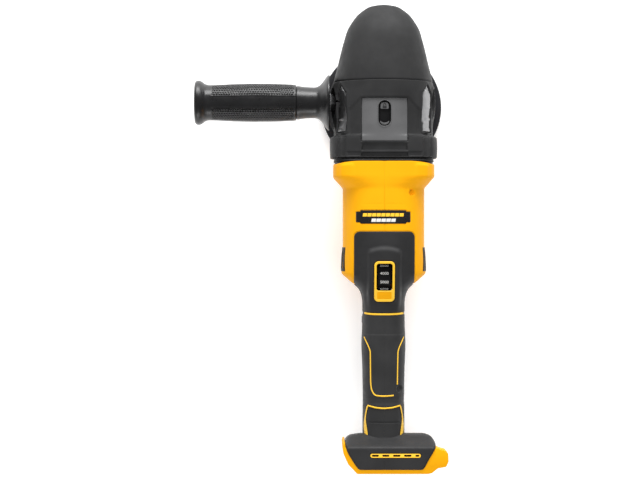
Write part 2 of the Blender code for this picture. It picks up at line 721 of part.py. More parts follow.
def build_gear_case():
    """Die-cast gear case: gearbox chamber, spindle neck, handle bosses and motor flange."""
    case = head("gear_case", COVER_WALL + GAP)
    cut(case, half_space("case_ahead", "Y", 61.5 * MM, 1), half_space("case_below", "Z", 56.5 * MM, -1))
    cut(case, half_space("case_behind", "Y", COVER_REAR_Y + 1 * MM, -1))
    flange = [(x, MOTOR_Z + z) for x, z in superellipse(49.6 * MM, 38.2 * MM, 38.2 * MM, 3.2, 24)]
    join(case, prism("flange", flange, "Y", -56.6 * MM, -50 * MM))
    join(case, rod("skirt", (0, 0, 46 * MM), (0, 0, 62 * MM), 40 * MM, 42 * MM, sides=22))
    join(case, rod("neck", (0, 0, GEAR_CASE_FLOOR), (0, 0, 60 * MM), 31 * MM, sides=22))
    cut(case, gear_case_room())
    for side in (-1, 1):
        start, end = (side * 28 * MM, 0, MOTOR_Z), (side * HANDLE_BOSS_X, 0, MOTOR_Z)
        join(case, rod("handle_boss", start, end, 12.5 * MM, sides=18))
        cut(case, rod("spot_face", end, (side * 60 * MM, 0, MOTOR_Z), 15 * MM, sides=18))
    cut(case, rod("gear_room", (0, 0, 50.5 * MM), (0, 0, 90 * MM), 29.5 * MM, sides=20))
    cut(case, rod("pinion_room", (0, -10 * MM, MOTOR_Z), (0, -36.4 * MM, MOTOR_Z), 13 * MM, sides=14))
    cut(
        case,
        rod("front_bearing_seat", (0, -30 * MM, MOTOR_Z), (0, -46.6 * MM, MOTOR_Z), 15.3 * MM, sides=24),
    )
    cut(case, rod("shaft_exit", (0, -40 * MM, MOTOR_Z), (0, -70 * MM, MOTOR_Z), 9 * MM, sides=14))
    cut(case, rod("fan_air", (0, -53 * MM, MOTOR_Z), (0, -70 * MM, MOTOR_Z), 24 * MM, sides=16))
    cut(case, rod("spindle_bearing_seat", (0, 0, 38.3 * MM), (0, 0, 52 * MM), 17.8 * MM, sides=24))
    cut(case, rod("retainer_seat", (0, 0, 20 * MM), (0, 0, 39 * MM), 28.5 * MM, sides=24))
    cut(case, rod("bush_seat", (0, 0, 90 * MM), (0, 0, 104 * MM), 7.3 * MM, sides=14))
    pin_top = Vector((0, LOCK_BUTTON_Y, 140 * MM))
    cut(case, rod("lock_pin_hole", Vector((0, LOCK_BUTTON_Y, 80 * MM)), pin_top, 3.4 * MM, sides=10))
    cut(case, rod("lock_spring_seat", Vector((0, LOCK_BUTTON_Y, 109 * MM)), pin_top, 6.2 * MM, sides=14))
    slot = [(x, y + LOCK_BUTTON_Y) for y, x in capsule_outline(26 * MM, 13 * MM)]
    cut(case, prism("button_pocket", slot, "Z", 114.5 * MM, 140 * MM))
    for side in (-1, 1):
        start, mouth = (side * 33.5 * MM, 0, MOTOR_Z), (side * 60 * MM, 0, MOTOR_Z)
        cut(case, rod("handle_hole", start, mouth, 5.5 * MM, sides=14))
        for level in (-1, 1):
            at = Vector((side * FLANGE_SCREW.x, 0, MOTOR_Z + level * FLANGE_SCREW.z))
            thread, sink = at - Vector((0, 50.4 * MM, 0)), at - Vector((0, 70 * MM, 0))
            cut(case, rod("screw_clearance", sink, at - Vector((0, 40 * MM, 0)), 2.5 * MM, sides=8))
            cut(case, rod("screw_sink", thread, at + Vector((0, 10 * MM, 0)), 5 * MM, sides=10))
        low, high = sorted((side * 14 * MM, side * 30 * MM))
        cut(case, block("exhaust", (low, -60 * MM, 45 * MM), (high, -46 * MM, 52 * MM)))
    for at in retainer_screw_places():
        cut(
            case,
            rod(
                "retainer_thread", at + Vector((0, 0, 30 * MM)), at + Vector((0, 0, 47 * MM)), 1.8 * MM,
                sides=8,
            ),
        )
    return as_node(case, ALUMINIUM)


def gear_case_room():
    """The hollow inside the gear case, less the bosses that stand in it."""
    room = head("room", COVER_WALL + GAP + 3 * MM)
    cut(room, half_space("room_ahead", "Y", 58 * MM, 1), half_space("room_below", "Z", 62 * MM, -1))
    cut(room, half_space("room_behind", "Y", -47 * MM, -1))
    cut(room, rod("bearing_boss", (0, -24 * MM, MOTOR_Z), (0, -60 * MM, MOTOR_Z), 18.5 * MM, sides=14))
    cut(room, block("top_boss", (-10 * MM, -28 * MM, 90 * MM), (10 * MM, 10 * MM, 140 * MM)))
    for side in (-1, 1):
        start, end = (side * 26 * MM, 0, MOTOR_Z), (side * 60 * MM, 0, MOTOR_Z)
        cut(room, rod("handle_boss_core", start, end, 12.2 * MM, sides=16))
        for level in (-1, 1):
            at = Vector((side * FLANGE_SCREW.x, 0, MOTOR_Z + level * FLANGE_SCREW.z))
            cut(
                room,
                rod(
                    "screw_boss", at - Vector((0, 60 * MM, 0)), at + Vector((0, 10 * MM, 0)), 8 * MM,
                    sides=10,
                ),
            )
    return room


def retainer_screw_places():
    angles = [math.radians(90 + 120 * i) for i in range(3)]
    return [
        Vector((RETAINER_SCREW_RADIUS * math.cos(a), RETAINER_SCREW_RADIUS * math.sin(a), 0)) for a in angles
    ]


def build_retainer():
    """Plate that holds the lower spindle bearing in the gear case."""
    profile = [(10.6, 34.5), (28.2, 34.5), (28.2, 38.7), (16.5, 38.7), (16.5, 37.9), (10.6, 37.9)]
    plate = turned("bearing_retainer", [(r * MM, h * MM) for r, h in profile], (0, 0, 0), (0, 0, 1), 28)
    for i, at in enumerate(retainer_screw_places()):
        cut(
            plate,
            rod(
                f"retainer_hole_{i}", at + Vector((0, 0, 30 * MM)), at + Vector((0, 0, 45 * MM)), 2.0 * MM,
                sides=12,
            ),
        )
    return as_node(plate, STEEL)


def ball_bearing(name, bore, outside, width, centre, axis):
    """A sealed ball bearing as one ring, with its two shield faces set back."""
    wall = outside - bore
    half = width / 2
    profile = [
        (bore, -half), (bore + 0.3 * wall, -half), (bore + 0.5 * wall, -half + 0.5 * MM), (outside, -half),
        (outside, half), (bore, half),
    ]
    return as_node(turned(name, profile, centre, axis, 20), STEEL)


# ---------------------------------------------------------------- spindle and pad


def bevel_rings(teeth, mate_teeth, addendum, dedendum, tooth_share, tip_share, phase):
    """Heel and toe outlines of a straight bevel gear, as rings of points, axis on +Z and apex at 0.

    tooth_share and tip_share are the tooth's width over the pitch, at the pitch circle and at its tip.
    """
    pitch_radius = MODULE * teeth / 2
    cone = math.atan2(teeth, mate_teeth)
    distance = pitch_radius / math.sin(cone)
    root_share = tooth_share + (tooth_share - tip_share) * dedendum / addendum
    steps = [
        (-root_share / 2, -dedendum), (-tip_share / 2, addendum), (tip_share / 2, addendum),
        (root_share / 2, -dedendum),
    ]
    rings = []
    for length in (distance, distance - FACE_WIDTH):
        scale = length / distance
        ring = []
        for tooth in range(teeth):
            for across, height in steps:
                angle = 2 * math.pi * (tooth + across) / teeth + phase
                radius = (pitch_radius + height * math.cos(cone)) * scale
                along = (distance * math.cos(cone) - height * math.sin(cone)) * scale
                ring.append((radius * math.cos(angle), radius * math.sin(angle), along))
        rings.append(ring)
    return rings


def bevel_gear(name, teeth, mate_teeth, shape, back, bore, front, phase=0.0):
    """A bevel gear. back is the (radius, distance from the apex) of its rear rim, and front its near face."""
    heel, toe = bevel_rings(teeth, mate_teeth, *shape, phase)
    angles = [math.atan2(p[1], p[0]) for p in heel]

    def circle(radius, along):
        return [(radius * math.cos(a), radius * math.sin(a), along) for a in angles]

    bm = bmesh.new()
    outlines = [circle(bore, back[1]), circle(back[0], back[1]), heel, toe, circle(bore, front)]
    skin(bm, [[bm.verts.new(p) for p in ring] for ring in outlines], closed=False)
    return object_from(bm, name)


def build_spindle_group():
    """Everything that turns with the spindle. Its pieces hang from an empty on the spindle's axis."""
    axis = pivot("spindle_axis", (0, 0, 0))
    spindle = shaft(
        "spindle",
        [
            (7.6 * MM, 16 * MM, 31 * MM), (8.6 * MM, 31 * MM, 38 * MM), (7.9 * MM, 38 * MM, 52 * MM),
            (9.5 * MM, 52 * MM, 55.4 * MM), (6.2 * MM, 55.4 * MM, 76 * MM), (4.6 * MM, 76 * MM, 102 * MM),
        ],
        (0, 0, 0),
        (0, 0, 1),
        steps=18,
    )
    hang(as_node(spindle, STEEL), axis)

    # The apex is at MOTOR_Z, so the gear is turned over: its +Z points down.
    gear_shape = (0.75 * MODULE, 1.35 * MODULE, 0.42, 0.24)
    gear = bevel_gear(
        "bevel_gear",
        GEAR_TEETH,
        PINION_TEETH,
        gear_shape,
        (26.4 * MM, 22 * MM),
        6.5 * MM,
        11.2 * MM,
        phase=math.radians(90),
    )
    for i in range(4):
        angle = 2 * math.pi * i / 4
        at = Vector((13.2 * MM * math.cos(angle), 13.2 * MM * math.sin(angle), 0))
        cut(gear, rod(f"lock_hole_{i}", at, at + Vector((0, 0, 50 * MM)), 3.3 * MM, sides=8))
    gear.rotation_euler = (math.pi, 0, 0)
    gear.location = (0, 0, MOTOR_Z)
    hang(as_node(gear, STEEL), axis)

    hub = [
        (7.9, 15.8), (15.5, 15.8), (15.5, 18), (12, 20.5), (12, 29.6), (7.9, 29.6),
    ]
    nut = turned("plate_hub", [(r * MM, h * MM) for r, h in hub], (0, 0, 0), (0, 0, 1), 24)
    hang(as_node(nut, STEEL), axis)
    backing = shaft(
        "backing_plate",
        [
            (57 * MM, 11.9 * MM, 13.2 * MM), (50 * MM, 15.2 * MM, 15.2 * MM),
            (26 * MM, 16.6 * MM, 16.6 * MM), (18.5 * MM, 19.4 * MM, 19.4 * MM),
        ],
        (0, 0, 0),
        (0, 0, 1),
        steps=36,
    )
    cut(backing, rod("hub_pocket", (0, 0, 15.5 * MM), (0, 0, 40 * MM), 15.8 * MM, sides=24))
    hang(as_node(backing, BLACK), axis)
    low, high = HOOK_THICKNESS + 0.1 * MM, HOOK_THICKNESS + CUSHION_THICKNESS
    wide = PAD_RADIUS
    cushion = shaft(
        "pad_cushion",
        [
            (wide - 1.2 * MM, low, low), (wide, low + 1.5 * MM, high - 3 * MM), (wide - 3.5 * MM, high, high),
        ],
        (0, 0, 0),
        (0, 0, 1),
        steps=36,
    )
    hang(as_node(cushion, FOAM), axis)
    hooks = shaft("hook_face", [(wide - 1.5 * MM, 0, HOOK_THICKNESS)], (0, 0, 0), (0, 0, 1), steps=36)
    hang(as_node(hooks, FOAM), axis)


def build_bush():
    bush = turned(
        "spindle_top_bush",
        [(4.75 * MM, 92 * MM), (7.0 * MM, 92 * MM), (7.0 * MM, 102.6 * MM), (4.75 * MM, 102.6 * MM)],
        (0, 0, 0),
        (0, 0, 1),
        20,
    )
    return as_node(bush, STEEL)


# ---------------------------------------------------------------- motor


def build_armature_group():
    """Everything that turns with the motor shaft. Its pieces hang from an empty on the motor's axis."""
    axis = pivot("motor_axis", (0, 0, MOTOR_Z))
    centre = Vector((0, 0, MOTOR_Z))
    backwards = (0, -1, 0)
    rotor_shaft = shaft(
        "motor_shaft",
        [(4.2 * MM, 33.2 * MM, 36 * MM), (6 * MM, 36 * MM, 136 * MM), (4 * MM, 136 * MM, 148 * MM)],
        centre,
        backwards,
        steps=20,
    )
    hang(as_node(rotor_shaft, STEEL), axis)

    pinion_shape = (1.0 * MODULE, 1.0 * MODULE, 0.40, 0.16)
    pinion = bevel_gear(
        "bevel_pinion",
        PINION_TEETH,
        GEAR_TEETH,
        pinion_shape,
        (5.4 * MM, 33 * MM),
        1.5 * MM,
        18.6 * MM,
        phase=math.radians(90),
    )
    pinion.rotation_euler = Vector(backwards).to_track_quat("Z", "Y").to_euler()
    pinion.location = centre
    hang(as_node(pinion, STEEL), axis)

    core = turned(
        "rotor_core",
        [(6.3 * MM, 84 * MM), (17.2 * MM, 84 * MM), (17.2 * MM, 128 * MM), (6.3 * MM, 128 * MM)],
        centre,
        backwards,
        32,
    )
    hang(as_node(core, STEEL), axis)

    fan = turned(
        "cooling_fan",
        [
            (6.3 * MM, 64 * MM), (10 * MM, 64 * MM), (10 * MM, 73.5 * MM), (35 * MM, 75 * MM),
            (35 * MM, 76.6 * MM), (10 * MM, 77.5 * MM), (6.3 * MM, 77.5 * MM),
        ],
        centre,
        backwards,
        24,
    )
    for i in range(9):
        angle = 2 * math.pi * i / 9
        blade = block(f"fan_blade_{i}", (-0.8 * MM, 15 * MM, 64.5 * MM), (0.8 * MM, 34.5 * MM, 75.6 * MM))
        for vert in blade.data.vertices:
            x, y, z = vert.co
            lean = angle + 0.5 * (y - 15 * MM) / (20 * MM)
            vert.co = (
                x * math.cos(lean) - y * math.sin(lean),
                z * -1,
                MOTOR_Z + x * math.sin(lean) + y * math.cos(lean),
            )
        blade.data.flip_normals()
        join(fan, blade)
    hang(as_node(fan, BLACK), axis)


def build_stator():
    """Laminated stator with nine slots, and its two winding heads."""
    slots = 9
    outer, inner = [], []
    for i in range(slots * 6):
        angle = 2 * math.pi * i / (slots * 6)
        outer.append((STATOR_RADIUS * math.cos(angle), STATOR_RADIUS * math.sin(angle)))
        radius = 25.5 * MM if i % 6 in (2, 3) else 17.8 * MM
        if i % 6 in (1, 4):
            radius = 19 * MM
        inner.append((radius * math.cos(angle), radius * math.sin(angle)))
    bm = bmesh.new()
    rings = [
        [bm.verts.new((x, y, MOTOR_Z + z)) for x, z in outline]
        for outline, y in ((outer, -84 * MM), (outer, -128 * MM), (inner, -128 * MM), (inner, -84 * MM))
    ]
    skin(bm, rings, closed=False)
    as_node(object_from(bm, "stator_core"), STEEL)
    for label, start, end in (("front", 79, 83.6), ("rear", 128.4, 134)):
        profile = [
            (20 * MM, start * MM), (26 * MM, start * MM), (27.5 * MM, (start + end) / 2 * MM),
            (26 * MM, end * MM), (20 * MM, end * MM), (18.6 * MM, (start + end) / 2 * MM),
        ]
        as_node(turned(f"winding_{label}", profile, (0, 0, MOTOR_Z), (0, -1, 0), 24), COPPER)


def build_fan_baffle():
    """Black ring between gear case and housing, which guides the fan's air."""
    outer = superellipse(51.0 * MM, 41.2 * MM, 41.2 * MM, 4.0, 28)
    ring = prism("fan_baffle", [(x, MOTOR_Z + z) for x, z in outer], "Y", -60.6 * MM, -57 * MM)
    cut(ring, rod("baffle_bore", (0, -40 * MM, MOTOR_Z), (0, -70 * MM, MOTOR_Z), 30 * MM, sides=24))
    for side in (-1, 1):
        for level in (-1, 1):
            at = Vector((side * FLANGE_SCREW.x, 0, MOTOR_Z + level * FLANGE_SCREW.z))
            cut(
                ring,
                rod(
                    f"baffle_hole_{side}_{level}", at - Vector((0, 70 * MM, 0)),
                    at - Vector((0, 40 * MM, 0)), 2.6 * MM, sides=12,
                ),
            )
    return as_node(ring, BLACK)


def build_flange_screws():
    number = 1
    for side in (-1, 1):
        for level in (-1, 1):
            at = (side * FLANGE_SCREW.x, 0, MOTOR_Z + level * FLANGE_SCREW.z)
            steps = [(4.4 * MM, 45.4 * MM, 50 * MM), (2.0 * MM, 50 * MM, 72 * MM)]
            as_node(shaft(f"gear_case_screw_{number}", steps, at, (0, -1, 0), steps=12), STEEL)
            number += 1


def build_retainer_screws():
    for i, at in enumerate(retainer_screw_places()):
        steps = [(3.4 * MM, 32.4 * MM, 34.2 * MM), (1.5 * MM, 34.2 * MM, 45 * MM)]
        as_node(shaft(f"retainer_screw_{i + 1}", steps, at, (0, 0, 1), steps=12), STEEL)


def build_rear_bearing_holder():
    """Spider in the housing that carries the motor's rear bearing."""
    profile = [
        (11.3, 138.6), (11.3, 147.4), (6, 147.4), (6, 149.5), (14, 149.5), (14, 143), (36.5, 143),
        (36.5, 138.6),
    ]
    holder = turned(
        "rear_bearing_holder", [(r * MM, h * MM) for r, h in profile], (0, 0, MOTOR_Z), (0, -1, 0), 24,
    )
    for i in range(4):
        angle = math.radians(90 * i)
        at = Vector((25 * MM * math.cos(angle), 0, MOTOR_Z + 25 * MM * math.sin(angle)))
        cut(
            holder,
            rod(
                f"holder_air_{i}", at - Vector((0, 130 * MM, 0)), at - Vector((0, 160 * MM, 0)), 8 * MM,
                sides=12,
            ),
        )
    return as_node(holder, BLACK)


# ---------------------------------------------------------------- controls


def build_lock_button():
    """Spindle lock: a thumb button whose pin drops towards the holes in the bevel gear."""
    axis = pivot("lock_axis", (0, LOCK_BUTTON_Y, 0))
    outline = [(x, y + LOCK_BUTTON_Y) for y, x in capsule_outline(24.6 * MM, 11.6 * MM)]
    button = prism("spindle_lock_button", outline, "Z", 119.6 * MM, 126.4 * MM)
    scoop = block(
        "button_scoop", (-4.6 * MM, LOCK_BUTTON_Y - 8.6 * MM, 124.6 * MM),
        (4.6 * MM, LOCK_BUTTON_Y + 2.2 * MM, 130 * MM),
    )
    cut(button, scoop)
    pin = rod("lock_pin", (0, LOCK_BUTTON_Y, 75.5 * MM), (0, LOCK_BUTTON_Y, 121 * MM), 3.0 * MM, sides=16)
    join(button, pin)
    hang(as_node(button, BLACK), axis)
    spring = coil("lock_button_spring", (0, LOCK_BUTTON_Y), 109.9 * MM, 118.8 * MM, 4.7 * MM, 0.45 * MM, 4)
    as_node(spring, STEEL)


def coil(name, centre, low, high, radius, wire, turns, per_turn=8):
    """A compression spring with its axis on +Z."""
    curve = bpy.data.curves.new(name, "CURVE")
    curve.dimensions = "3D"
    curve.bevel_depth = wire
    curve.bevel_resolution = 1
    curve.use_fill_caps = True
    spline = curve.splines.new("POLY")
    count = turns * per_turn + 1
    spline.points.add(count - 1)
    for i, point in enumerate(spline.points):
        angle = 2 * math.pi * i / per_turn
        share = i / (count - 1)
        height = low + wire + (high - low - 2 * wire) * share
        point.co = (centre[0] + radius * math.cos(angle), centre[1] + radius * math.sin(angle), height, 1)
    obj = bpy.data.objects.new(name, curve)
    TOOL.objects.link(obj)
    return obj


def build_trigger_group():
    axis = pivot("trigger_axis", TRIGGER_PIVOT)
    side_view = [
        (-192, 67), (-190.4, 65), (-190.4, 54), (-193, 50), (-199, 47.6), (-209, 46.6), (-222, 45.4),
        (-236, 42.6), (-245, 39.8), (-249, 39.8), (-251, 42.4), (-251, 61), (-240, 61.6), (-198, 66.8),
    ]
    outline = [(y * MM, z * MM) for y, z in side_view]
    trigger = prism("trigger", outline, "X", -TRIGGER_HALF_WIDTH, TRIGGER_HALF_WIDTH)
    cut(
        trigger,
        rod(
            "trigger_bore", (-20 * MM, *TRIGGER_PIVOT[1:]), (20 * MM, *TRIGGER_PIVOT[1:]), 1.9 * MM,
            sides=16,
        ),
    )
    hang(as_node(trigger, BLACK), axis)
    pin_half = 13.4 * MM
    pin = rod(
        "trigger_pin", (-pin_half, *TRIGGER_PIVOT[1:]), (pin_half, *TRIGGER_PIVOT[1:]), 1.6 * MM, sides=14,
    )
    as_node(pin, STEEL)
    for obj_name in ("housing_left", "housing_right"):
        side = -1 if obj_name.endswith("left") else 1
        ear_low, ear_high = sorted((side * 10.8 * MM, side * 14.8 * MM))
        ear = block(f"pin_ear_{side}", (ear_low, -198 * MM, 61.6 * MM), (ear_high, -191 * MM, 69 * MM))
        hole = rod(
            f"pin_seat_{side}", (-13.8 * MM, *TRIGGER_PIVOT[1:]), (13.8 * MM, *TRIGGER_PIVOT[1:]), 1.9 * MM,
            sides=14,
        )
        join(bpy.data.objects[obj_name], ear)
        cut(bpy.data.objects[obj_name], hole)

    switch = block("switch_module", (-8 * MM, -246 * MM, 69 * MM), (8 * MM, -204 * MM, 95 * MM))
    as_node(switch, BLACK)

    lock_axis = pivot("lock_on_axis", (0, -222 * MM, 66 * MM))
    inner, outer = Vector((-13.4 * MM, -222 * MM, 66 * MM)), Vector((-21.9 * MM, -222 * MM, 66 * MM))
    button = rod("lock_on_button", outer, inner, 4.0 * MM, sides=20)
    hang(as_node(button, BLACK), lock_axis)


def build_speed_dial():
    """Thumb wheel with a fluted rim, turning about X."""
    axis = pivot("dial_axis", DIAL_CENTRE)
    flutes = 24
    outline = []
    for i in range(flutes * 2):
        angle = math.pi * i / flutes
        radius = DIAL_RADIUS if i % 2 else DIAL_RADIUS - 0.7 * MM
        outline.append((DIAL_CENTRE.y + radius * math.cos(angle), DIAL_CENTRE.z + radius * math.sin(angle)))
    wheel = prism("speed_dial", outline, "X", -DIAL_HALF_WIDTH, DIAL_HALF_WIDTH)
    cut(
        wheel,
        rod("dial_bore", (-20 * MM, *DIAL_CENTRE[1:]), (20 * MM, *DIAL_CENTRE[1:]), 2.4 * MM, sides=14),
    )
    hang(as_node(wheel, BLACK), axis)
    sensor = block(
        "dial_sensor", (7.4 * MM, DIAL_CENTRE.y - 7 * MM, 90 * MM),
        (13.5 * MM, DIAL_CENTRE.y + 7 * MM, 105 * MM),
    )
    join(
        sensor,
        rod("dial_spigot", (-7.6 * MM, *DIAL_CENTRE[1:]), (9 * MM, *DIAL_CENTRE[1:]), 2.0 * MM, sides=14),
    )
    as_node(sensor, BLACK)


def build_side_handle():
    """Auxiliary handle: rubber sleeve on a flanged plastic core, with a steel stud in the left boss."""
    at = (0, 0, MOTOR_Z)
    left = (-1, 0, 0)
    core_profile = [
        (5.3, 54.6), (27.8, 54.6), (28.2, 56.2), (25.5, 58.6), (19.5, 63.2), (16.2, 67), (15.7, 69.5),
        (16.2, 80), (17.2, 88.4), (13.8, 88.4), (13.8, 180), (5.3, 180),
    ]
    core = turned("side_handle_core", [(r * MM, h * MM) for r, h in core_profile], at, left, 26)
    as_node(core, BLACK)
    sleeve = shaft(
        "side_handle_sleeve",
        [
            (17.9 * MM, 88.8 * MM, 88.8 * MM), (18.4 * MM, 92 * MM, 92 * MM), (19.4 * MM, 115 * MM, 115 * MM),
            (19.5 * MM, 130 * MM, 130 * MM), (18.9 * MM, 155 * MM, 155 * MM), (18.1 * MM, 172 * MM, 172 * MM),
            (18.4 * MM, 180 * MM, 180 * MM), (21.5 * MM, 185 * MM, 185 * MM), (
                22.7 * MM, 188 * MM, 189.5 * MM,
            ),
            (20.5 * MM, 192.6 * MM, 192.6 * MM), (14 * MM, 193.6 * MM, 193.6 * MM),
        ],
        at,
        left,
        steps=26,
    )
    cut(sleeve, rod("sleeve_bore", (-60 * MM, 0, MOTOR_Z), (-180.6 * MM, 0, MOTOR_Z), 14.1 * MM, sides=26))
    as_node(sleeve, RUBBER)
    stud = shaft(
        "side_handle_stud", [(5 * MM, 34.5 * MM, 41.5 * MM), (5 * MM, 54 * MM, 110 * MM)], at, left,
        steps=18,
    )
    join(
        stud,
        rod("stud_collar", (-45.8 * MM, 0, MOTOR_Z), (-54.3 * MM, 0, MOTOR_Z), 5.6 * MM, 8.6 * MM, sides=6),
    )
    as_node(stud, STEEL)


def build_electronics():
    module = block("control_module", (-24 * MM, -352 * MM, 58 * MM), (40 * MM, -343 * MM, 102 * MM))
    cut(module, block("module_relief", (3.4 * MM, -400 * MM, 40 * MM), (60 * MM, -350.6 * MM, 120 * MM)))
    as_node(module, BOARD)

for housing_side, housing_label in ((-1, "left"), (1, "right")):
    build_housing(housing_side, housing_label)
    build_overmold(housing_side, housing_label)
    build_intake_screen(housing_side, housing_label)
build_dial_cover()
build_dial_bezel()
build_badge()
build_shell_screws()
build_battery_base()
build_terminal_block()
build_gear_case_cover()
build_nose_cover()
build_gear_case()
build_retainer()
build_bush()
ball_bearing("spindle_bearing", 8.1 * MM, 17.5 * MM, 11 * MM, (0, 0, 44.6 * MM), (0, 0, 1))
ball_bearing("front_motor_bearing", 6.2 * MM, 15 * MM, 9 * MM, (0, -41.6 * MM, MOTOR_Z), (0, 1, 0))
ball_bearing("rear_motor_bearing", 4.2 * MM, 11 * MM, 7 * MM, (0, -143 * MM, MOTOR_Z), (0, 1, 0))
build_spindle_group()
build_armature_group()
build_stator()
build_fan_baffle()
build_flange_screws()
build_retainer_screws()
build_rear_bearing_holder()
build_lock_button()
build_trigger_group()
build_speed_dial()
build_side_handle()
build_electronics()
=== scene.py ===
"""Looks for the cordless rotary polisher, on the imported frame. Metres, +Z up, nose to +Y."""

import math

import bmesh
import bpy
import numpy as np
from mathutils import Matrix, Vector


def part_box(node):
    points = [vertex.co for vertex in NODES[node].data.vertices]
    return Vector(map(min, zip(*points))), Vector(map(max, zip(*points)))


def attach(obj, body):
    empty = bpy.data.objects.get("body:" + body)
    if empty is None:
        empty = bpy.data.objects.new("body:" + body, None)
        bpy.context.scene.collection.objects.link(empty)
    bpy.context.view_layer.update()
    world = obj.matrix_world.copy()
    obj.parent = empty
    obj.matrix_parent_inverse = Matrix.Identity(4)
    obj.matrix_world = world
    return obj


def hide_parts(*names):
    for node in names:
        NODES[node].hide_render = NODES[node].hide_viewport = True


# All shapes below are in millimetres. MM takes them to metres.
MM = 0.001
ORIGIN, UP = (0, 0, 0), (0, 0, 1)
MOTOR_Z = 80.0  # height of the motor's axis, which is also the side handle's
LOCK_Y = -13.2  # middle of the spindle lock button
BOSS_OPENING = 14.6  # radius of the cover's opening round a handle boss
SEAT_Y = -182.1  # middle of the yellow frame round the dial's window
DIAL_Y, DIAL_Z = -177.5, 98.5  # the speed dial's axis
SCREEN_Y, SCREEN_Z = -159.8, 79  # middle of an intake screen
BAR = (11.05, -356.8)  # middle of the slotted bar on the foot
SHARP = 38  # an edge is drawn sharp above this angle in degrees

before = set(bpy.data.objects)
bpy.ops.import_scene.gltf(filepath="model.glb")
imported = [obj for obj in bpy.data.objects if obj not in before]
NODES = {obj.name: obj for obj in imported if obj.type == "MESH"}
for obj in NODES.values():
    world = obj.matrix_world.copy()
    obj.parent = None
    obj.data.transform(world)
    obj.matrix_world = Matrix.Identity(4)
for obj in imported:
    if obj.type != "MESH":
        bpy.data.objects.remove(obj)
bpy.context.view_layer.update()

# y, half width, height of the widest line, top, bottom, squareness
HEAD = [
    (98.9, 7, 86, 89.5, 83, 2.0),
    (97.6, 13.4, 86, 92.6, 80.2, 2.04),
    (93.5, 20.8, 85, 98, 76, 2.1),
    (88.5, 27, 83, 103, 71.5, 2.15),
    (82, 32, 81, 108, 67, 2.2),
    (74, 36.8, 78, 112.8, 62.5, 2.25),
    (64, 40, 75, 117, 58.5, 2.3),
    (52, 43.3, 72, 120.5, 55, 2.3),
    (40, 46.2, 69, 123, 52, 2.3),
    (30, 48.9, 67, 124.3, 50.5, 2.3),
    (21, 51, 66, 125, 49.5, 2.3),
    (12, 52.7, 65, 125, 49, 2.3),
    (2, 53.4, 65, 124.6, 48.5, 2.3),
    (-12, 52.2, 66, 124, 48, 2.3),
    (-24, 51, 68, 123.4, 46, 2.4),
    (-33.5, 50.6, 71, 123, 44, 2.6),
    (-36.5, 54.6, 73, 123, 42, 2.9),
    (-46, 54.8, 77, 122.6, 40, 3.2),
    (-56.6, 54.4, 79, 122.2, 38.5, 3.4),
]
BODY = [
    (-56.8, 50.2, 80, 120.6, 39.4, 3.6),
    (-60.9, 51.0, 80, 121.8, 38.2, 4.0),
    (-62.5, 51.4, 80, 122, 38, 4.0),
    (-75, 51.5, 80, 122, 38, 4.0),
    (-82, 46.6, 80, 121.6, 38.6, 3.2),
    (-89, 41.6, 80, 121, 39, 2.6),
    (-115, 41.5, 80, 121, 39, 2.6),
    (-143, 41.5, 80, 120.6, 39.2, 2.6),
    (-160, 42.6, 80, 118.6, 41, 2.6),
    (-173, 43, 80, 115.6, 44.4, 2.6),
    (-180, 36.8, 80, 113.6, 47.6, 2.6),
    (-186, 29.7, 80, 111.9, 50.4, 2.6),
    (-191, 25, 80, 110.5, 52.6, 2.6),
    (-198, 22.4, 80, 108.6, 54.6, 2.6),
    (-206, 21.6, 80, 107.2, 55.6, 2.6),
    (-228, 21.8, 80, 106.2, 56, 2.6),
    (-246, 22.5, 80, 106.2, 55, 2.6),
    (-272, 21.6, 80, 105.6, 55, 2.6),
    (-300, 21.2, 80, 104.8, 55, 2.6),
    (-326, 21.4, 80, 104.4, 54.6, 2.6),
    (-345, 21.4, 80, 104.4, 54.6, 2.6),
]


# ---------------------------------------------------------------- smooth sections


class Curve:
    """A smooth curve through points that doesn't overshoot them (monotone cubic)."""

    def __init__(self, xs, ys):
        order = np.argsort(xs)
        self.x, self.y = np.array(xs, float)[order], np.array(ys, float)[order]
        step, slope = np.diff(self.x), np.diff(self.y) / np.diff(self.x)
        tangent = np.zeros(len(self.x))
        tangent[0], tangent[-1] = slope[0], slope[-1]
        for i in range(1, len(self.x) - 1):
            a, b = slope[i - 1], slope[i]
            if a * b > 0:
                wa, wb = 2 * step[i] + step[i - 1], step[i] + 2 * step[i - 1]
                tangent[i] = (wa + wb) / (wa / a + wb / b)
        self.t = tangent

    def __call__(self, value):
        value = np.clip(np.asarray(value, float), self.x[0], self.x[-1])
        i = np.clip(np.searchsorted(self.x, value) - 1, 0, len(self.x) - 2)
        step = self.x[i + 1] - self.x[i]
        u = (value - self.x[i]) / step
        return (
            (2 * u**3 - 3 * u**2 + 1) * self.y[i]
            + (u**3 - 2 * u**2 + u) * step * self.t[i]
            + (-2 * u**3 + 3 * u**2) * self.y[i + 1]
            + (u**3 - u**2) * step * self.t[i + 1]
        )


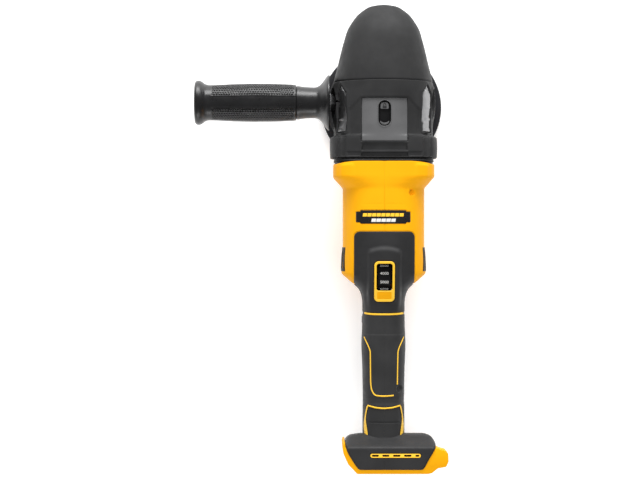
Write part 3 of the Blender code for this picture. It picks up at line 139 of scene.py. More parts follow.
class Skin:
    """A lofted surface: rounded-square sections whose sizes change smoothly along Y."""

    def __init__(self, stations):
        columns = list(zip(*stations))
        self.curves = [Curve(columns[0], column) for column in columns[1:]]

    def section(self, y):
        return [curve(y) for curve in self.curves]

    def points(self, y, angle, grow=0.0):
        """x and z round the section at y. Angle 0 is +X and 90 degrees is the top."""
        half, middle, top, bottom, power = self.section(y)
        c, s = np.cos(angle), np.sin(angle)
        reach = np.where(s > 0, top - middle, middle - bottom) + grow
        x = (half + grow) * np.sign(c) * np.abs(c) ** (2 / power)
        return x, middle + reach * np.sign(s) * np.abs(s) ** (2 / power)

    def top(self, x, y, grow=0.0):
        """Height of the upper surface over (x, y)."""
        half, middle, top, _, power = self.section(y)
        share = np.clip(np.abs(x) / (half + grow), 0, 1)
        return middle + (top - middle + grow) * (1 - share**power) ** (1 / power)

    def side(self, y, z):
        """Distance from the middle plane to the side surface at height z."""
        half, middle, top, bottom, power = self.section(y)
        reach = np.where(z > middle, top - middle, middle - bottom)
        share = np.clip(np.abs(z - middle) / reach, 0, 1)
        return half * (1 - share**power) ** (1 / power)


HEAD_SKIN = Skin(HEAD)
BODY_SKIN = Skin(BODY)


def box_distance(x, y, centre, half, radius=0.0):
    """Signed distance to a round-cornered rectangle, negative inside."""
    dx = np.abs(x - centre[0]) - half[0] + radius
    dy = np.abs(y - centre[1]) - half[1] + radius
    return np.hypot(np.maximum(dx, 0), np.maximum(dy, 0)) + np.minimum(np.maximum(dx, dy), 0) - radius


def line_distance(x, y, points):
    """Distance to a polyline."""
    best = np.full(np.shape(x), 1e9)
    for (ax, ay), (bx, by) in zip(points, points[1:]):
        length = (bx - ax) ** 2 + (by - ay) ** 2
        share = np.clip(((x - ax) * (bx - ax) + (y - ay) * (by - ay)) / length, 0, 1)
        best = np.minimum(best, np.hypot(x - ax - share * (bx - ax), y - ay - share * (by - ay)))
    return best


def rise(distance, soft):
    """1 well inside a shape, 0 outside, with a soft edge of the given width."""
    t = np.clip(0.5 - distance / soft, 0, 1)
    return t * t * (3 - 2 * t)


def trench(distance, width):
    """1 along a line, 0 beyond half the width, for a rounded groove."""
    t = np.clip(1 - np.abs(distance) / (width / 2), 0, 1)
    return np.sqrt(t * (2 - t))


# ---------------------------------------------------------------- materials


def new_material(name, colour, roughness, metallic=0.0, specular=0.5):
    mat = bpy.data.materials.new(name)
    mat.use_nodes = True
    shader = mat.node_tree.nodes["Principled BSDF"]
    shader.inputs["Base Color"].default_value = (*colour, 1)
    shader.inputs["Roughness"].default_value = roughness
    shader.inputs["Metallic"].default_value = metallic
    shader.inputs["Specular IOR Level"].default_value = specular
    return mat, shader


def noise(mat, scale, detail=3.0, stretch=None):
    """A noise texture in object space, in metres."""
    tree = mat.node_tree
    coords = tree.nodes.new("ShaderNodeTexCoord")
    texture = tree.nodes.new("ShaderNodeTexNoise")
    texture.inputs["Scale"].default_value = scale
    texture.inputs["Detail"].default_value = detail
    out = coords.outputs["Object"]
    if stretch:
        mapping = tree.nodes.new("ShaderNodeMapping")
        mapping.inputs["Scale"].default_value = stretch
        tree.links.new(out, mapping.inputs["Vector"])
        out = mapping.outputs["Vector"]
    tree.links.new(out, texture.inputs["Vector"])
    return texture


def ramp(mat, source, low, high):
    """Maps a texture's value between two values or colours."""
    node = mat.node_tree.nodes.new("ShaderNodeValToRGB")
    for element, place, value in zip(node.color_ramp.elements, (0.35, 0.65), (low, high)):
        element.position = place
        element.color = (*value, 1) if isinstance(value, tuple) else (value, value, value, 1)
    mat.node_tree.links.new(source, node.inputs["Fac"])
    return node.outputs["Color"]


def bump(mat, shader, height, strength, distance):
    node = mat.node_tree.nodes.new("ShaderNodeBump")
    node.inputs["Strength"].default_value = strength
    node.inputs["Distance"].default_value = distance
    mat.node_tree.links.new(height, node.inputs["Height"])
    mat.node_tree.links.new(node.outputs["Normal"], shader.inputs["Normal"])


def moulded(name, colour, roughness, grain=2600.0, strength=0.25, vary=0.06, specular=0.5):
    """Moulded plastic or rubber: fine spark-eroded grain, slightly uneven colour and sheen."""
    mat, shader = new_material(name, colour, roughness, specular=specular)
    fine = noise(mat, grain, 2.0)
    bump(mat, shader, fine.outputs["Fac"], strength, 0.00008)
    broad = noise(mat, 38.0, 4.0)
    darker = tuple(c * (1 - vary) for c in colour)
    lighter = tuple(min(1.0, c * (1 + vary)) for c in colour)
    mat.node_tree.links.new(ramp(mat, broad.outputs["Fac"], darker, lighter), shader.inputs["Base Color"])
    smear = noise(mat, 120.0, 5.0)
    sheen = ramp(mat, smear.outputs["Fac"], roughness - 0.06, roughness + 0.06)
    mat.node_tree.links.new(sheen, shader.inputs["Roughness"])
    return mat


def metal(name, colour, roughness, grain=900.0, stretch=None, strength=0.3):
    """Machined or cast metal with grain along one direction or none."""
    mat, shader = new_material(name, colour, roughness, 1.0)
    fine = noise(mat, grain, 4.0, stretch)
    bump(mat, shader, fine.outputs["Fac"], strength, 0.00006)
    broad = noise(mat, 90.0, 3.0)
    darker = tuple(c * 0.86 for c in colour)
    mat.node_tree.links.new(ramp(mat, broad.outputs["Fac"], darker, colour), shader.inputs["Base Color"])
    sheen = ramp(mat, fine.outputs["Fac"], roughness * 0.75, min(1.0, roughness * 1.25))
    mat.node_tree.links.new(sheen, shader.inputs["Roughness"])
    return mat


YELLOW = moulded("yellow_nylon", (0.86, 0.385, 0.006), 0.48, 2200.0, 0.18, 0.02, 0.05)
LINE_YELLOW = moulded("yellow_trim", (0.95, 0.56, 0.04), 0.46, 2600.0, 0.12, 0.02, 0.25)
RUBBER = moulded("soft_black_rubber", (0.033, 0.033, 0.0335), 0.5, 2800.0, 0.42, 0.12, 0.12)
HEAD_RUBBER = moulded("head_rubber", (0.03, 0.03, 0.0305), 0.5, 2400.0, 0.35, 0.12, 0.07)
PANEL = moulded("satin_head_panel", (0.1, 0.1, 0.102), 0.42, 2400.0, 0.2, 0.08, 0.45)
BLACK = moulded("black_nylon", (0.028, 0.028, 0.0288), 0.46, 2000.0, 0.3, 0.12, 0.14)
HANDLE_RUBBER = moulded("side_handle_rubber", (0.009, 0.009, 0.0094), 0.33, 2600.0, 0.16, 0.12, 0.5)
DEEP = moulded("deep_black_nylon", (0.007, 0.007, 0.0074), 0.5, 2000.0, 0.25, 0.1, 0.2)
PLATE = moulded("badge_plate", (0.012, 0.012, 0.013), 0.3, 3000.0, 0.08, 0.08)
WHITE = moulded("white_print", (0.72, 0.72, 0.7), 0.5, 3000.0, 0.05, 0.03)
FOAM = moulded("pad_foam", (0.016, 0.016, 0.018), 0.85, 700.0, 0.8, 0.2, 0.25)
ALUMINIUM = metal("cast_aluminium", (0.3, 0.3, 0.305), 0.4, 1500.0, None, 0.5)
STEEL = metal("turned_steel", (0.5, 0.5, 0.51), 0.3, 700.0, (1, 1, 12), 0.3)
# Dark steel: the real black oxide parts, and also painted shade on the left handle boss
DARK_STEEL = metal("black_oxide_steel_and_painted_boss_shade", (0.09, 0.09, 0.095), 0.36, 900.0, (1, 1, 8), 0.3)
LAMINATION = metal("stacked_laminations", (0.3, 0.3, 0.31), 0.45, 400.0, (1, 30, 1), 0.8)
COPPER = metal("enamelled_copper", (0.62, 0.26, 0.1), 0.3, 900.0, (1, 1, 14), 0.8)
BRASS = metal("tinned_brass", (0.75, 0.68, 0.5), 0.25, 900.0, (1, 6, 1), 0.2)
POTTING = moulded("potting_compound", (0.02, 0.045, 0.03), 0.35, 900.0, 0.3, 0.15)
FLOOR = moulded("studio_floor", (0.95, 0.95, 0.95), 0.9, 400.0, 0.02, 0.005, 0.1)
FLOOR.node_tree.nodes["Principled BSDF"].inputs["Emission Color"].default_value = (1, 1, 1, 1)
FLOOR.node_tree.nodes["Principled BSDF"].inputs["Emission Strength"].default_value = 0.25


# ---------------------------------------------------------------- mesh helpers


def new_object(name, verts, faces, weld=False):
    """A linked mesh object from millimetre points, with its faces turned outwards."""
    mesh = bpy.data.meshes.new(name)
    mesh.from_pydata([tuple(v) for v in np.asarray(verts, float) * MM], [], faces)
    bm = bmesh.new()
    bm.from_mesh(mesh)
    if weld:
        bmesh.ops.remove_doubles(bm, verts=bm.verts, dist=0.00001)
    bmesh.ops.recalc_face_normals(bm, faces=bm.faces)
    bm.to_mesh(mesh)
    bm.free()
    obj = bpy.data.objects.new(name, mesh)
    bpy.context.scene.collection.objects.link(obj)
    return obj


def finish_piece(name, verts, faces, mat, body="tool", replaces=(), sharp=SHARP):
    """A mesh piece from millimetre points, smooth except at its sharp edges, riding on a body."""
    obj = new_object(name, verts, faces, weld=True)
    mesh = obj.data
    mesh.shade_smooth()
    mesh.set_sharp_from_angle(angle=math.radians(sharp))
    mesh.materials.append(mat)
    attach(obj, body)
    if replaces:
        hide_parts(*replaces)
    return obj


def grid_faces(rows, columns, wrap_columns=True, wrap_rows=False):
    faces = []
    for i in range(rows if wrap_rows else rows - 1):
        k = (i + 1) % rows
        for j in range(columns if wrap_columns else columns - 1):
            m = (j + 1) % columns
            faces.append((i * columns + j, i * columns + m, k * columns + m, k * columns + j))
    return faces


def round_angles(count, fine=()):
    """Angles round a section, with extra ones where a fine groove runs."""
    angles = list(2 * math.pi * (np.arange(count) + 0.5) / count)
    return np.array(sorted(set(angles + [a % (2 * math.pi) for a in fine])))


def near_middle():
    """Extra angles close to the middle plane, at the top and the bottom."""
    spread = (0.004, 0.012, 0.024)
    return [centre + sign * s for centre in (math.pi / 2, -math.pi / 2) for s in spread for sign in (-1, 1)]


def closed_rings(name, rings, mat, *rest, **more):
    """A closed piece from rings of points, the last joined to the first."""
    faces = grid_faces(len(rings), len(rings[0]), True, True)
    return finish_piece(name, np.concatenate(rings), faces, mat, *rest, **more)


def ring_at(y, x, z):
    """The points of the section at y."""
    return np.stack([x, np.full_like(x, y), z], 1)


def tube(name, skin, ys, mat, relief=None, wall=3.0, count=200, fine=(), **more):
    """A closed shell: the skin's outer surface with relief(x, y, z), turned in at both ends over a wall."""
    angles = round_angles(count, fine)
    ys = np.asarray(ys, float)
    outer = []
    for y in ys:
        x, z = skin.points(y, angles)
        grow = relief(x, np.full_like(x, y), z) if relief else np.zeros_like(x)
        x, z = skin_points_grown(skin, y, angles, grow)
        outer.append(ring_at(y, x, z))
    inner = []
    for y in ys[::-1][:: max(1, len(ys) // 40)]:
        x, z = skin.points(y, angles, -wall)
        inner.append(ring_at(y, x, z))
    x, z = skin.points(ys[0], angles, -wall)
    inner.append(ring_at(ys[0], x, z))
    return closed_rings(name, outer + inner, mat, **more)


def skin_points_grown(skin, y, angles, grow):
    """The section at y with its own outward growth at each angle."""
    half, middle, top, bottom, power = skin.section(y)
    c, s = np.cos(angles), np.sin(angles)
    reach = np.where(s > 0, top - middle, middle - bottom)
    x = half * np.sign(c) * np.abs(c) ** (2 / power)
    z = reach * np.sign(s) * np.abs(s) ** (2 / power)
    nx = np.sign(c) * np.abs(c) ** (2 - 2 / power) / half
    nz = np.sign(s) * np.abs(s) ** (2 - 2 / power) / reach
    length = np.hypot(nx, nz)
    return x + grow * nx / length, middle + z + grow * nz / length


def lathe(name, profile, at, axis, mat, steps=96, **more):
    """A closed turned piece. The profile is (radius, distance along the axis) in order round the section."""
    way = Vector(axis).normalized()
    side = way.orthogonal().normalized()
    other = way.cross(side)
    verts = []
    for i in range(steps):
        angle = 2 * math.pi * i / steps
        out = side * math.cos(angle) + other * math.sin(angle)
        verts += [tuple(Vector(at) + out * r + way * h) for r, h in profile]
    return finish_piece(name, verts, grid_faces(steps, len(profile), True, True), mat, **more)


def rounded(points, radius, closed=True):
    """A closed outline, or an open line, with each corner rounded up to the given radius."""
    made, steps, count = [], 4, len(points)
    for i in range(count):
        if not closed and i in (0, count - 1):
            made.append(points[i])
            continue
        a, b, c = (Vector(points[(i + k) % count]) for k in (-1, 0, 1))
        cut = min(radius, (a - b).length * 0.45, (c - b).length * 0.45)
        start, end = b + (a - b).normalized() * cut, b + (c - b).normalized() * cut
        for k in range(steps + 1):
            t = k / steps
            made.append(tuple(start * (1 - t) ** 2 + b * 2 * t * (1 - t) + end * t**2))
    return made


def slab(name, outline, low, high, mat, axis="Z", bevel=0.4, **more):
    """A prism with rounded rims. The outline uses the two axes other than axis, anticlockwise or not."""
    outline = [Vector(p) for p in outline]
    area = sum(a.x * b.y - b.x * a.y for a, b in zip(outline, outline[1:] + outline[:1]))
    turn = 1 if area > 0 else -1

    def shrunk(distance):
        moved = []
        for a, b, c in zip(outline[-1:] + outline[:-1], outline, outline[1:] + outline[:1]):
            first, second = (b - a).normalized(), (c - b).normalized()
            inward = Vector((-first.y, first.x)) * turn + Vector((-second.y, second.x)) * turn
            if inward.length < 1e-6:
                inward = Vector((-first.y, first.x)) * turn
            inward.normalize()
            moved.append(b + inward * distance)
        return moved

    index = "XYZ".index(axis)
    verts = []
    levels = [(low, bevel), (low + 0.3 * bevel, 0.3 * bevel), (low + bevel, 0)]
    levels += [(high - bevel, 0), (high - 0.3 * bevel, 0.3 * bevel), (high, bevel)]
    for level, inset in levels:
        for p in shrunk(inset):
            point = [p.x, p.y]
            point.insert(index, level)
            verts.append(point)
    count = len(outline)
    faces = grid_faces(len(levels), count)
    faces += [tuple(range(count)), tuple(range((len(levels) - 1) * count, len(levels) * count))]
    return finish_piece(name, verts, faces, mat, **more)


def draped(name, distance, area, height, mat, thickness=2.0, step=0.7, rim=0.6, floor=None, **more):
    """A plate that follows height(x, y), inside the outline where distance(x, y) is negative.

    Grid points near the outline are moved onto it, and its edge is rounded over rim.
    """
    xs = np.arange(area[0], area[2] + step, step)
    ys = np.arange(area[1], area[3] + step, step)
    gx, gy = np.meshgrid(xs, ys)
    for _ in range(4):
        d = distance(gx, gy)
        ex = (distance(gx + 0.05, gy) - distance(gx - 0.05, gy)) / 0.1
        ey = (distance(gx, gy + 0.05) - distance(gx, gy - 0.05)) / 0.1
        length = np.maximum(np.hypot(ex, ey), 1e-6)
        near = np.abs(d) < step * 0.75
        gx = np.where(near, gx - ex / length * d, gx)
        gy = np.where(near, gy - ey / length * d, gy)
    d = distance(gx, gy)
    inside = d < 0.02
    rows, columns = gx.shape
    roll = np.clip(1 - (1 + np.clip(d / max(rim, 0.01), -1, 0)) ** 2, 0, 1)
    top = height(gx, gy) - rim * (1 - np.sqrt(roll))
    bottom = floor(gx, gy) if floor else height(gx, gy) - thickness
    verts = np.concatenate([np.stack([gx, gy, level], 2).reshape(-1, 3) for level in (top, bottom)])
    faces, edges = [], {}
    for i in range(rows - 1):
        for j in range(columns - 1):
            corners = [(i, j), (i, j + 1), (i + 1, j + 1), (i + 1, j)]
            if all(inside[c] for c in corners):
                quads = [corners]
            else:
                kept = [c for c in corners if inside[c]]
                quads = [kept] if len(kept) == 3 else []
            for quad in quads:
                loop = [a * columns + b for a, b in quad]
                faces.append(tuple(loop))
                faces.append(tuple(v + rows * columns for v in reversed(loop)))
                for a, b in zip(loop, loop[1:] + loop[:1]):
                    if (b, a) in edges:
                        del edges[(b, a)]
                    else:
                        edges[(a, b)] = True
    for a, b in edges:
        faces.append((b, a, a + rows * columns, b + rows * columns))
    used = sorted({v for face in faces for v in face})
    lookup = {v: i for i, v in enumerate(used)}
    faces = [tuple(lookup[v] for v in face) for face in faces]
    return finish_piece(name, verts[used], faces, mat, **more)


def bead(name, path, outward, width, height, mat, sink=0.4, **more):
    """A raised round-topped line along a path. outward gives the surface's normal at each point."""
    path = [Vector(p) for p in path]
    count, sides, verts = len(path), 8, []
    for i in range(count):
        along = (path[min(i + 1, count - 1)] - path[max(i - 1, 0)]).normalized()
        normal = Vector(outward[i]).normalized()
        across = along.cross(normal).normalized()
        normal = across.cross(along).normalized()
        for k in range(sides + 1):
            angle = math.pi * k / sides
            sideways, up = width / 2 * math.cos(angle), height * math.sin(angle)
            verts.append(tuple(path[i] + across * sideways + normal * up))
        verts.append(tuple(path[i] - across * (width / 2) - normal * sink))
        verts.append(tuple(path[i] + across * (width / 2) - normal * sink))
    per = sides + 3
    faces = grid_faces(count, per) + [tuple(range(per)), tuple(range((count - 1) * per, count * per))]
    return finish_piece(name, verts, faces, mat, **more)


def cut_with(target, *cutters):
    """Cuts closed helper objects out of a piece and removes them."""
    for cutter in cutters:
        modifier = target.modifiers.new("cut", "BOOLEAN")
        modifier.operation = "DIFFERENCE"
        modifier.solver = "EXACT"
        modifier.object = cutter
        depsgraph = bpy.context.evaluated_depsgraph_get()
        mesh = bpy.data.meshes.new_from_object(target.evaluated_get(depsgraph))
        target.modifiers.clear()
        target.data = mesh
        bpy.data.objects.remove(cutter)
    target.data.shade_smooth()
    target.data.set_sharp_from_angle(angle=math.radians(SHARP))
    return target


def helper(outline, low, high, axis="Z"):
    """A plain prism used only for cutting."""
    index = "XYZ".index(axis)
    verts = []
    for level in (low, high):
        for p in outline:
            point = [p[0], p[1]]
            point.insert(index, level)
            verts.append(point)
    count = len(outline)
    faces = grid_faces(2, count) + [tuple(range(count)), tuple(range(count, 2 * count))]
    return new_object("helper", verts, faces)


def rectangle(x0, y0, x1, y1):
    return [(x0, y0), (x1, y0), (x1, y1), (x0, y1)]


def capsule(centre, length, width, along="Y", sides=10):
    """A slot's outline: two half circles and two straight sides."""
    radius, reach = width / 2, (length - width) / 2
    points = []
    for end, start in ((1, -90), (-1, 90)):
        for i in range(sides + 1):
            angle = math.radians(start + 180 * i / sides)
            a, b = end * reach + radius * math.cos(angle), radius * math.sin(angle)
            points.append((centre[0] + b, centre[1] + a) if along == "Y" else (centre[0] + a, centre[1] + b))
    return points


def steps_between(start, end, step):
    """Evenly spaced stations from start to end, about step apart."""
    return np.linspace(start, end, max(2, int(abs(end - start) / step) + 1))


def stations(first, runs, last=()):
    """Where sections lie: single ones, runs of (start, end, step), then single ones."""
    return np.concatenate([first, *(steps_between(*run) for run in runs), last])


def half_tube(name, skin, ys, mat, side, relief=None, wall=3.0, count=110, **more):
    """One clamshell half of a tube: a closed shell from the middle plane round one side (+1 right, -1 left)."""
    share = np.linspace(0, 1, count)
    angles = -math.pi / 2 + math.pi * (share - 0.18 * np.sin(2 * math.pi * share) / (2 * math.pi))
    angles = np.concatenate([[angles[0], angles[0] + 0.006, angles[0] + 0.014], angles[1:-1],
                             [angles[-1] - 0.014, angles[-1] - 0.006, angles[-1]]])
    if side < 0:
        angles = math.pi - angles
    rings = []
    for y in np.asarray(ys, float):
        x, z = skin.points(y, angles)
        x[[0, -1]] = 0.03 * side
        grow = relief(x, np.full_like(x, y), z) if relief else np.zeros_like(x)
        gx, gz = skin_points_grown(skin, y, angles, grow)
        ix, iz = skin.points(y, angles, -wall)
        gx[[0, -1]] = ix[[0, -1]] = 0.03 * side
        rings.append(np.concatenate([ring_at(y, gx, gz), ring_at(y, ix, iz)[::-1]]))
    per = len(rings[0])
    faces = grid_faces(len(rings), per, True, False)
    faces += end_cap(0, per) + end_cap((len(rings) - 1) * per, per)
    return finish_piece(name, np.concatenate(rings), faces, mat, **more)


def end_cap(start, per):
    """Quads joining a half tube's outer and inner arcs at one end."""
    half = per // 2
    return [(start + i, start + i + 1, start + per - 2 - i, start + per - 1 - i) for i in range(half - 1)]


def patch(name, skin, ys, edge, mat, grow, thickness=2.4, rim=0.7, count=90, **more):
    """A plate on top of a skin. edge(y) is its half width, grow(x, y) its height over the skin."""
    outer, inner = [], []
    ys = np.asarray(ys, float)
    for y in ys:
        half, *_, power = skin.section(y)
        start = math.acos(min(0.94, (edge(y) / half)) ** (power / 2))
        share = np.linspace(-1, 1, count)
        share = np.sign(share) * (1 - (1 - np.abs(share)) ** 1.35)
        angles = math.pi / 2 + share * (math.pi / 2 - start)
        x, z = skin.points(y, angles)
        reach = np.minimum(np.minimum(y - ys.min(), ys.max() - y), np.abs(x[0]) - np.abs(x))
        drop = rim * (1 - np.sqrt(np.clip(1 - (1 - np.clip(reach / rim, 0, 1)) ** 2, 0, 1)))
        x, z = skin_points_grown(skin, y, angles, grow(x, np.full_like(x, y)) - drop)
        outer.append(ring_at(y, x, z))
        x, z = skin_points_grown(skin, y, angles, np.full_like(x, -thickness))
        inner.append(ring_at(y, x, z)[::-1])
    rings = [np.concatenate(pair) for pair in zip(outer, inner)]
    per = len(rings[0])
    faces = grid_faces(len(rings), per, True, False)
    faces += end_cap(0, per) + end_cap((len(rings) - 1) * per, per)
    return finish_piece(name, np.concatenate(rings), faces, mat, **more)


def polygon_distance(x, y, points):
    """Signed distance to a closed outline, negative inside."""
    outline = list(points) + [points[0]]
    near = line_distance(x, y, outline)
    inside = np.zeros(np.shape(x), bool)
    for (ax, ay), (bx, by) in zip(outline, outline[1:]):
        if ay == by:
            continue
        crosses = (ay > y) != (by > y)
        inside ^= crosses & (x < (bx - ax) * (y - ay) / (by - ay) + ax)
    return np.where(inside, -near, near)


def surface_path(skin, points, grow=0.0):
    """A line over a skin's top from (x, y) points: its 3-D points and the surface's normals."""
    dense = []
    for (ax, ay), (bx, by) in zip(points, points[1:]):
        count = max(1, int(math.hypot(bx - ax, by - ay)))
        dense += [(ax + (bx - ax) * i / count, ay + (by - ay) * i / count) for i in range(count)]
    dense.append(points[-1])
    path, normals = [], []
    for x, y in dense:
        z = float(skin.top(x, y, grow))
        slope_x = float(skin.top(x + 0.1, y, grow) - skin.top(x - 0.1, y, grow)) / 0.2
        slope_y = float(skin.top(x, y + 0.3, grow) - skin.top(x, y - 0.3, grow)) / 0.6
        path.append((x, y, z))
        normals.append((-slope_x, -slope_y, 1))
    return path, normals


def place(obj, matrix):
    """Moves a finished piece's mesh."""
    obj.data.transform(matrix)
    obj.data.update()
    return obj


# ---------------------------------------------------------------- pad


def build_pad():
    """The backing pad: hook face, foam cushion, ribbed plate and steel hub."""
    hooks = lathe("pad_hook_face", [(0.4, 0), (61.6, 0), (62, 0.4), (62, 2.2), (61.6, 2.6), (0.4, 2.6)],
                  ORIGIN, UP, FOAM, 160, body="spindle", replaces=["hook_face"])
    profile = [(0.4, 2.7), (61.5, 2.7), (62.8, 3.2), (63.5, 4.2), (63.6, 5.6), (63.2, 6.6), (63.4, 7.6),
               (62.9, 9.2), (61.6, 10.6), (59.6, 11.4), (58.2, 11.6), (0.4, 11.6)]
    cushion = lathe("pad_cushion_foam", profile, ORIGIN, UP, FOAM, 160,
                    body="spindle", replaces=["pad_cushion"])
    plate = disc_with_ribs()
    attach(plate, "spindle")
    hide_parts("backing_plate")
    hub = lathe("pad_hub", [(8.0, 15.8), (15.2, 15.8), (15.5, 16.2), (15.5, 17.8), (12.2, 20.4), (12, 20.8),
                            (12, 29.1), (11.5, 29.6), (8.6, 29.6), (8.0, 29.0)],
                ORIGIN, UP, STEEL, 96, body="spindle", replaces=["plate_hub"])
    flats = [helper(rectangle(-20, s * 10.4, 20, s * 16), 22, 31) for s in (1, -1)]
    cut_with(hub, *flats)


def disc_with_ribs():
    """The backing plate's top: a dished disc with a rolled rim and radial ribs."""
    radii = np.concatenate([[15.9], np.linspace(17, 55, 56), [56.2, 56.9, 57.0, 56.8]])
    levels = Curve([0, 15.9, 19, 26, 50, 54, 55.4, 56.6, 57.1],
                   [19.2, 19.2, 18.8, 16.6, 15.0, 14.9, 15.4, 15.2, 13.6])
    steps, spokes, underside, heights = 240, 12, 12.0, []
    angles = 2 * math.pi * np.arange(steps) / steps
    for r in radii:
        spoke = np.abs(((angles * spokes / (2 * math.pi) + 0.5) % 1) - 0.5) * (2 * math.pi / spokes) * r
        rib = rise(spoke - 0.9, 0.9) * rise(abs(r - 36) - 16, 3)
        heights.append(np.full(steps, float(levels(r))) + rib)
    heights[-1] = np.full(steps, underside)
    radii = np.concatenate([radii, [40, 15.9]])
    heights += [np.full(steps, underside)] * 2
    rings = [np.stack([r * np.cos(angles), r * np.sin(angles), h], 1) for r, h in zip(radii, heights)]
    return closed_rings("backing_plate_ribbed", rings, BLACK)


# ---------------------------------------------------------------- head


def window_outline():
    """The cover's side window in (y, z): a strip with a pointed front end, high on the side."""
    return [(17.4, 102), (8.5, 110.2), (-30.6, 110.2), (-31.8, 109), (-31.8, 94.6), (7.5, 94.6)]


def boss_opening():
    """The cover's round opening for a handle boss in (y, z)."""
    turns = np.linspace(0, 2 * math.pi, 40, endpoint=False)
    return [(BOSS_OPENING * math.cos(a), MOTOR_Z + BOSS_OPENING * math.sin(a)) for a in turns]


def head_top(x, y, lift=0.0):
    """Height of the head's top panel, sunk into the cover."""
    return HEAD_SKIN.top(x, y) - np.interp(y, [-41, -24, -9, 2.4], [0.8, 0.75, 1.45, 2.35]) + lift


def build_nose():
    """The black cover over the front of the head."""
    def relief(x, y, z):
        crease = trench(x, 0.5) * rise(MOTOR_Z - z, 8) * rise(y - 88, 10)
        edge = 0.7 * np.clip((22.6 - y) / 1.7, 0, 1) ** 2
        return -0.1 * crease - edge
    skin = Skin([(99.35, 1.0, 86.1, 86.7, 85.4, 2.0), (99.25, 4.2, 86, 88.2, 84.1, 2.0)] + HEAD)
    ys = stations([99.35, 99.25, 99.1, *np.linspace(98.9, 93, 16)], [(92.5, 23, 0.9)],
                  [22.6, 22.2, 21.8, 21.4, 21.1, 20.9])
    nose = tube("nose_shell", skin, ys, HEAD_RUBBER, relief, 3.0, 200, near_middle(), replaces=["nose_cover"])
    fill_ends(nose)


def fill_ends(obj):
    """Closes the pin hole left at the tip of a tube."""
    bm = bmesh.new()
    bm.from_mesh(obj.data)
    bmesh.ops.holes_fill(bm, edges=[e for e in bm.edges if e.is_boundary], sides=0)
    bm.to_mesh(obj.data)
    bm.free()


def panel_height(y):
    """How far the head's top panel lies below the skin along its length."""
    return np.interp(y, [-42, -40.6, -30, -13, 2.4, 3.4], [2.0, 2.1, 2.0, 2.2, 2.7, 0.7])


SHOULDER = [(-5, 3.2), (24, 3.2), (35.5, -8.6), (35.5, -34), (-5, -34)]


def cover_relief(x, y, z):
    """The gear case cover's surface: sunk top panel, shoulders, rear ledges and rims round the windows."""
    up = rise(100 - z, 6)
    panel = rise(box_distance(x, y, (0, -19.4), (23.4, 22.2), 0.6), 0.9)
    shoulder = rise(polygon_distance(np.abs(x), y, SHOULDER), 1.3)
    relief = -(panel_height(y) * panel + 0.9 * shoulder * (1 - panel)) * up
    ledge = rise(box_distance(x, y, (0, -46.4), (22.6, 3.9), 0.8), 1.0)
    relief = relief - 2.0 * ledge * up
    lower = rise(box_distance(x, y, (0, -54.4), (23.6, 2.0), 0.5), 1.0)
    relief = relief - 2.4 * lower * up
    cheek = rise(box_distance(np.abs(x), y, (31, -53.6), (6.6, 2.4), 0.5), 1.0)
    relief = relief - cheek * up
    relief = relief - 0.18 * trench(x, 0.5) * up
    flank = rise(88 - z, 5) * rise(box_distance(y, z, (-44.5, 95), (11.5, 60), 0.5), 0.8)
    wide, narrow = rise(np.abs(np.abs(x) - 41.6) - 2.0, 0.9), rise(np.abs(np.abs(x) - 47.4) - 0.8, 0.8)
    relief = relief - flank * (1.3 * wide + narrow)
    groove = trench(y + 36.2, 0.9) * rise(np.abs(z - 85) - 60, 2)
    window = np.minimum(polygon_distance(y, z, window_outline()), np.hypot(y, z - MOTOR_Z) - BOSS_OPENING)
    rim = 0.6 * rise(np.abs(window - 1.2) - 1.2, 0.7) * rise(36 - np.abs(x), 4)
    front = 0.35 * np.clip((y - 19.8) / 0.7, 0, 1) ** 2
    rear = 0.5 * np.clip((-56.0 - y) / 1.0, 0, 1) ** 2
    return relief + rim - 0.5 * groove - front - rear


def build_gear_case_cover():
    """The black cover over the gear case, cut open for the lock button, the windows and the bosses."""
    runs = [(19.2, 10.8, 0.8), (10.4, 8.0, 0.3), (7.4, -32.4, 0.8), (-32.9, -41.8, 0.35), (-42.2, -49.4, 0.7),
            (-49.7, -56.4, 0.35)]
    ys = stations([20.5, 20.3, 20.0, 19.7], runs, [-56.6, -56.8, -57.0])
    fine = [a for x in (21.9, 22.3, 22.7, 23.1) for a in panel_angles(x)]
    cover = tube("gear_case_guard", HEAD_SKIN, ys, HEAD_RUBBER, cover_relief, 3.2, 260, near_middle() + fine,
                 replaces=["gear_case_cover"])
    slot = helper(capsule((0, LOCK_Y), 26.2, 12.8, sides=16), 108, 130)
    windows = [helper(outline, low, high, "X") for outline in (window_outline(), boss_opening())
               for low, high in ((20, 70), (-70, -20))]
    below = helper(rectangle(-80, -70, 80, 30), 20, 56.5)
    cut_with(cover, slot, *windows, below)
    insert = draped("head_panel", panel_region, (-23, -41.4, 23, 2.8), head_top, PANEL, 0.5, 0.6, 0.25)


def panel_region(x, y):
    """The head's top panel with its opening for the lock button."""
    outer = box_distance(x, y, (0, -19.4), (22.7, 21.4), 0.8)
    return np.maximum(outer, -box_distance(x, y, (0, LOCK_Y), (6.5, 13.2), 6.5))


def panel_angles(x):
    """Angles at the top where the head's section is x from the middle, for sharper panel edges."""
    half, *_, power = HEAD_SKIN.section(-15)
    angle = math.acos((x / half) ** (power / 2))
    return [angle, math.pi - angle]


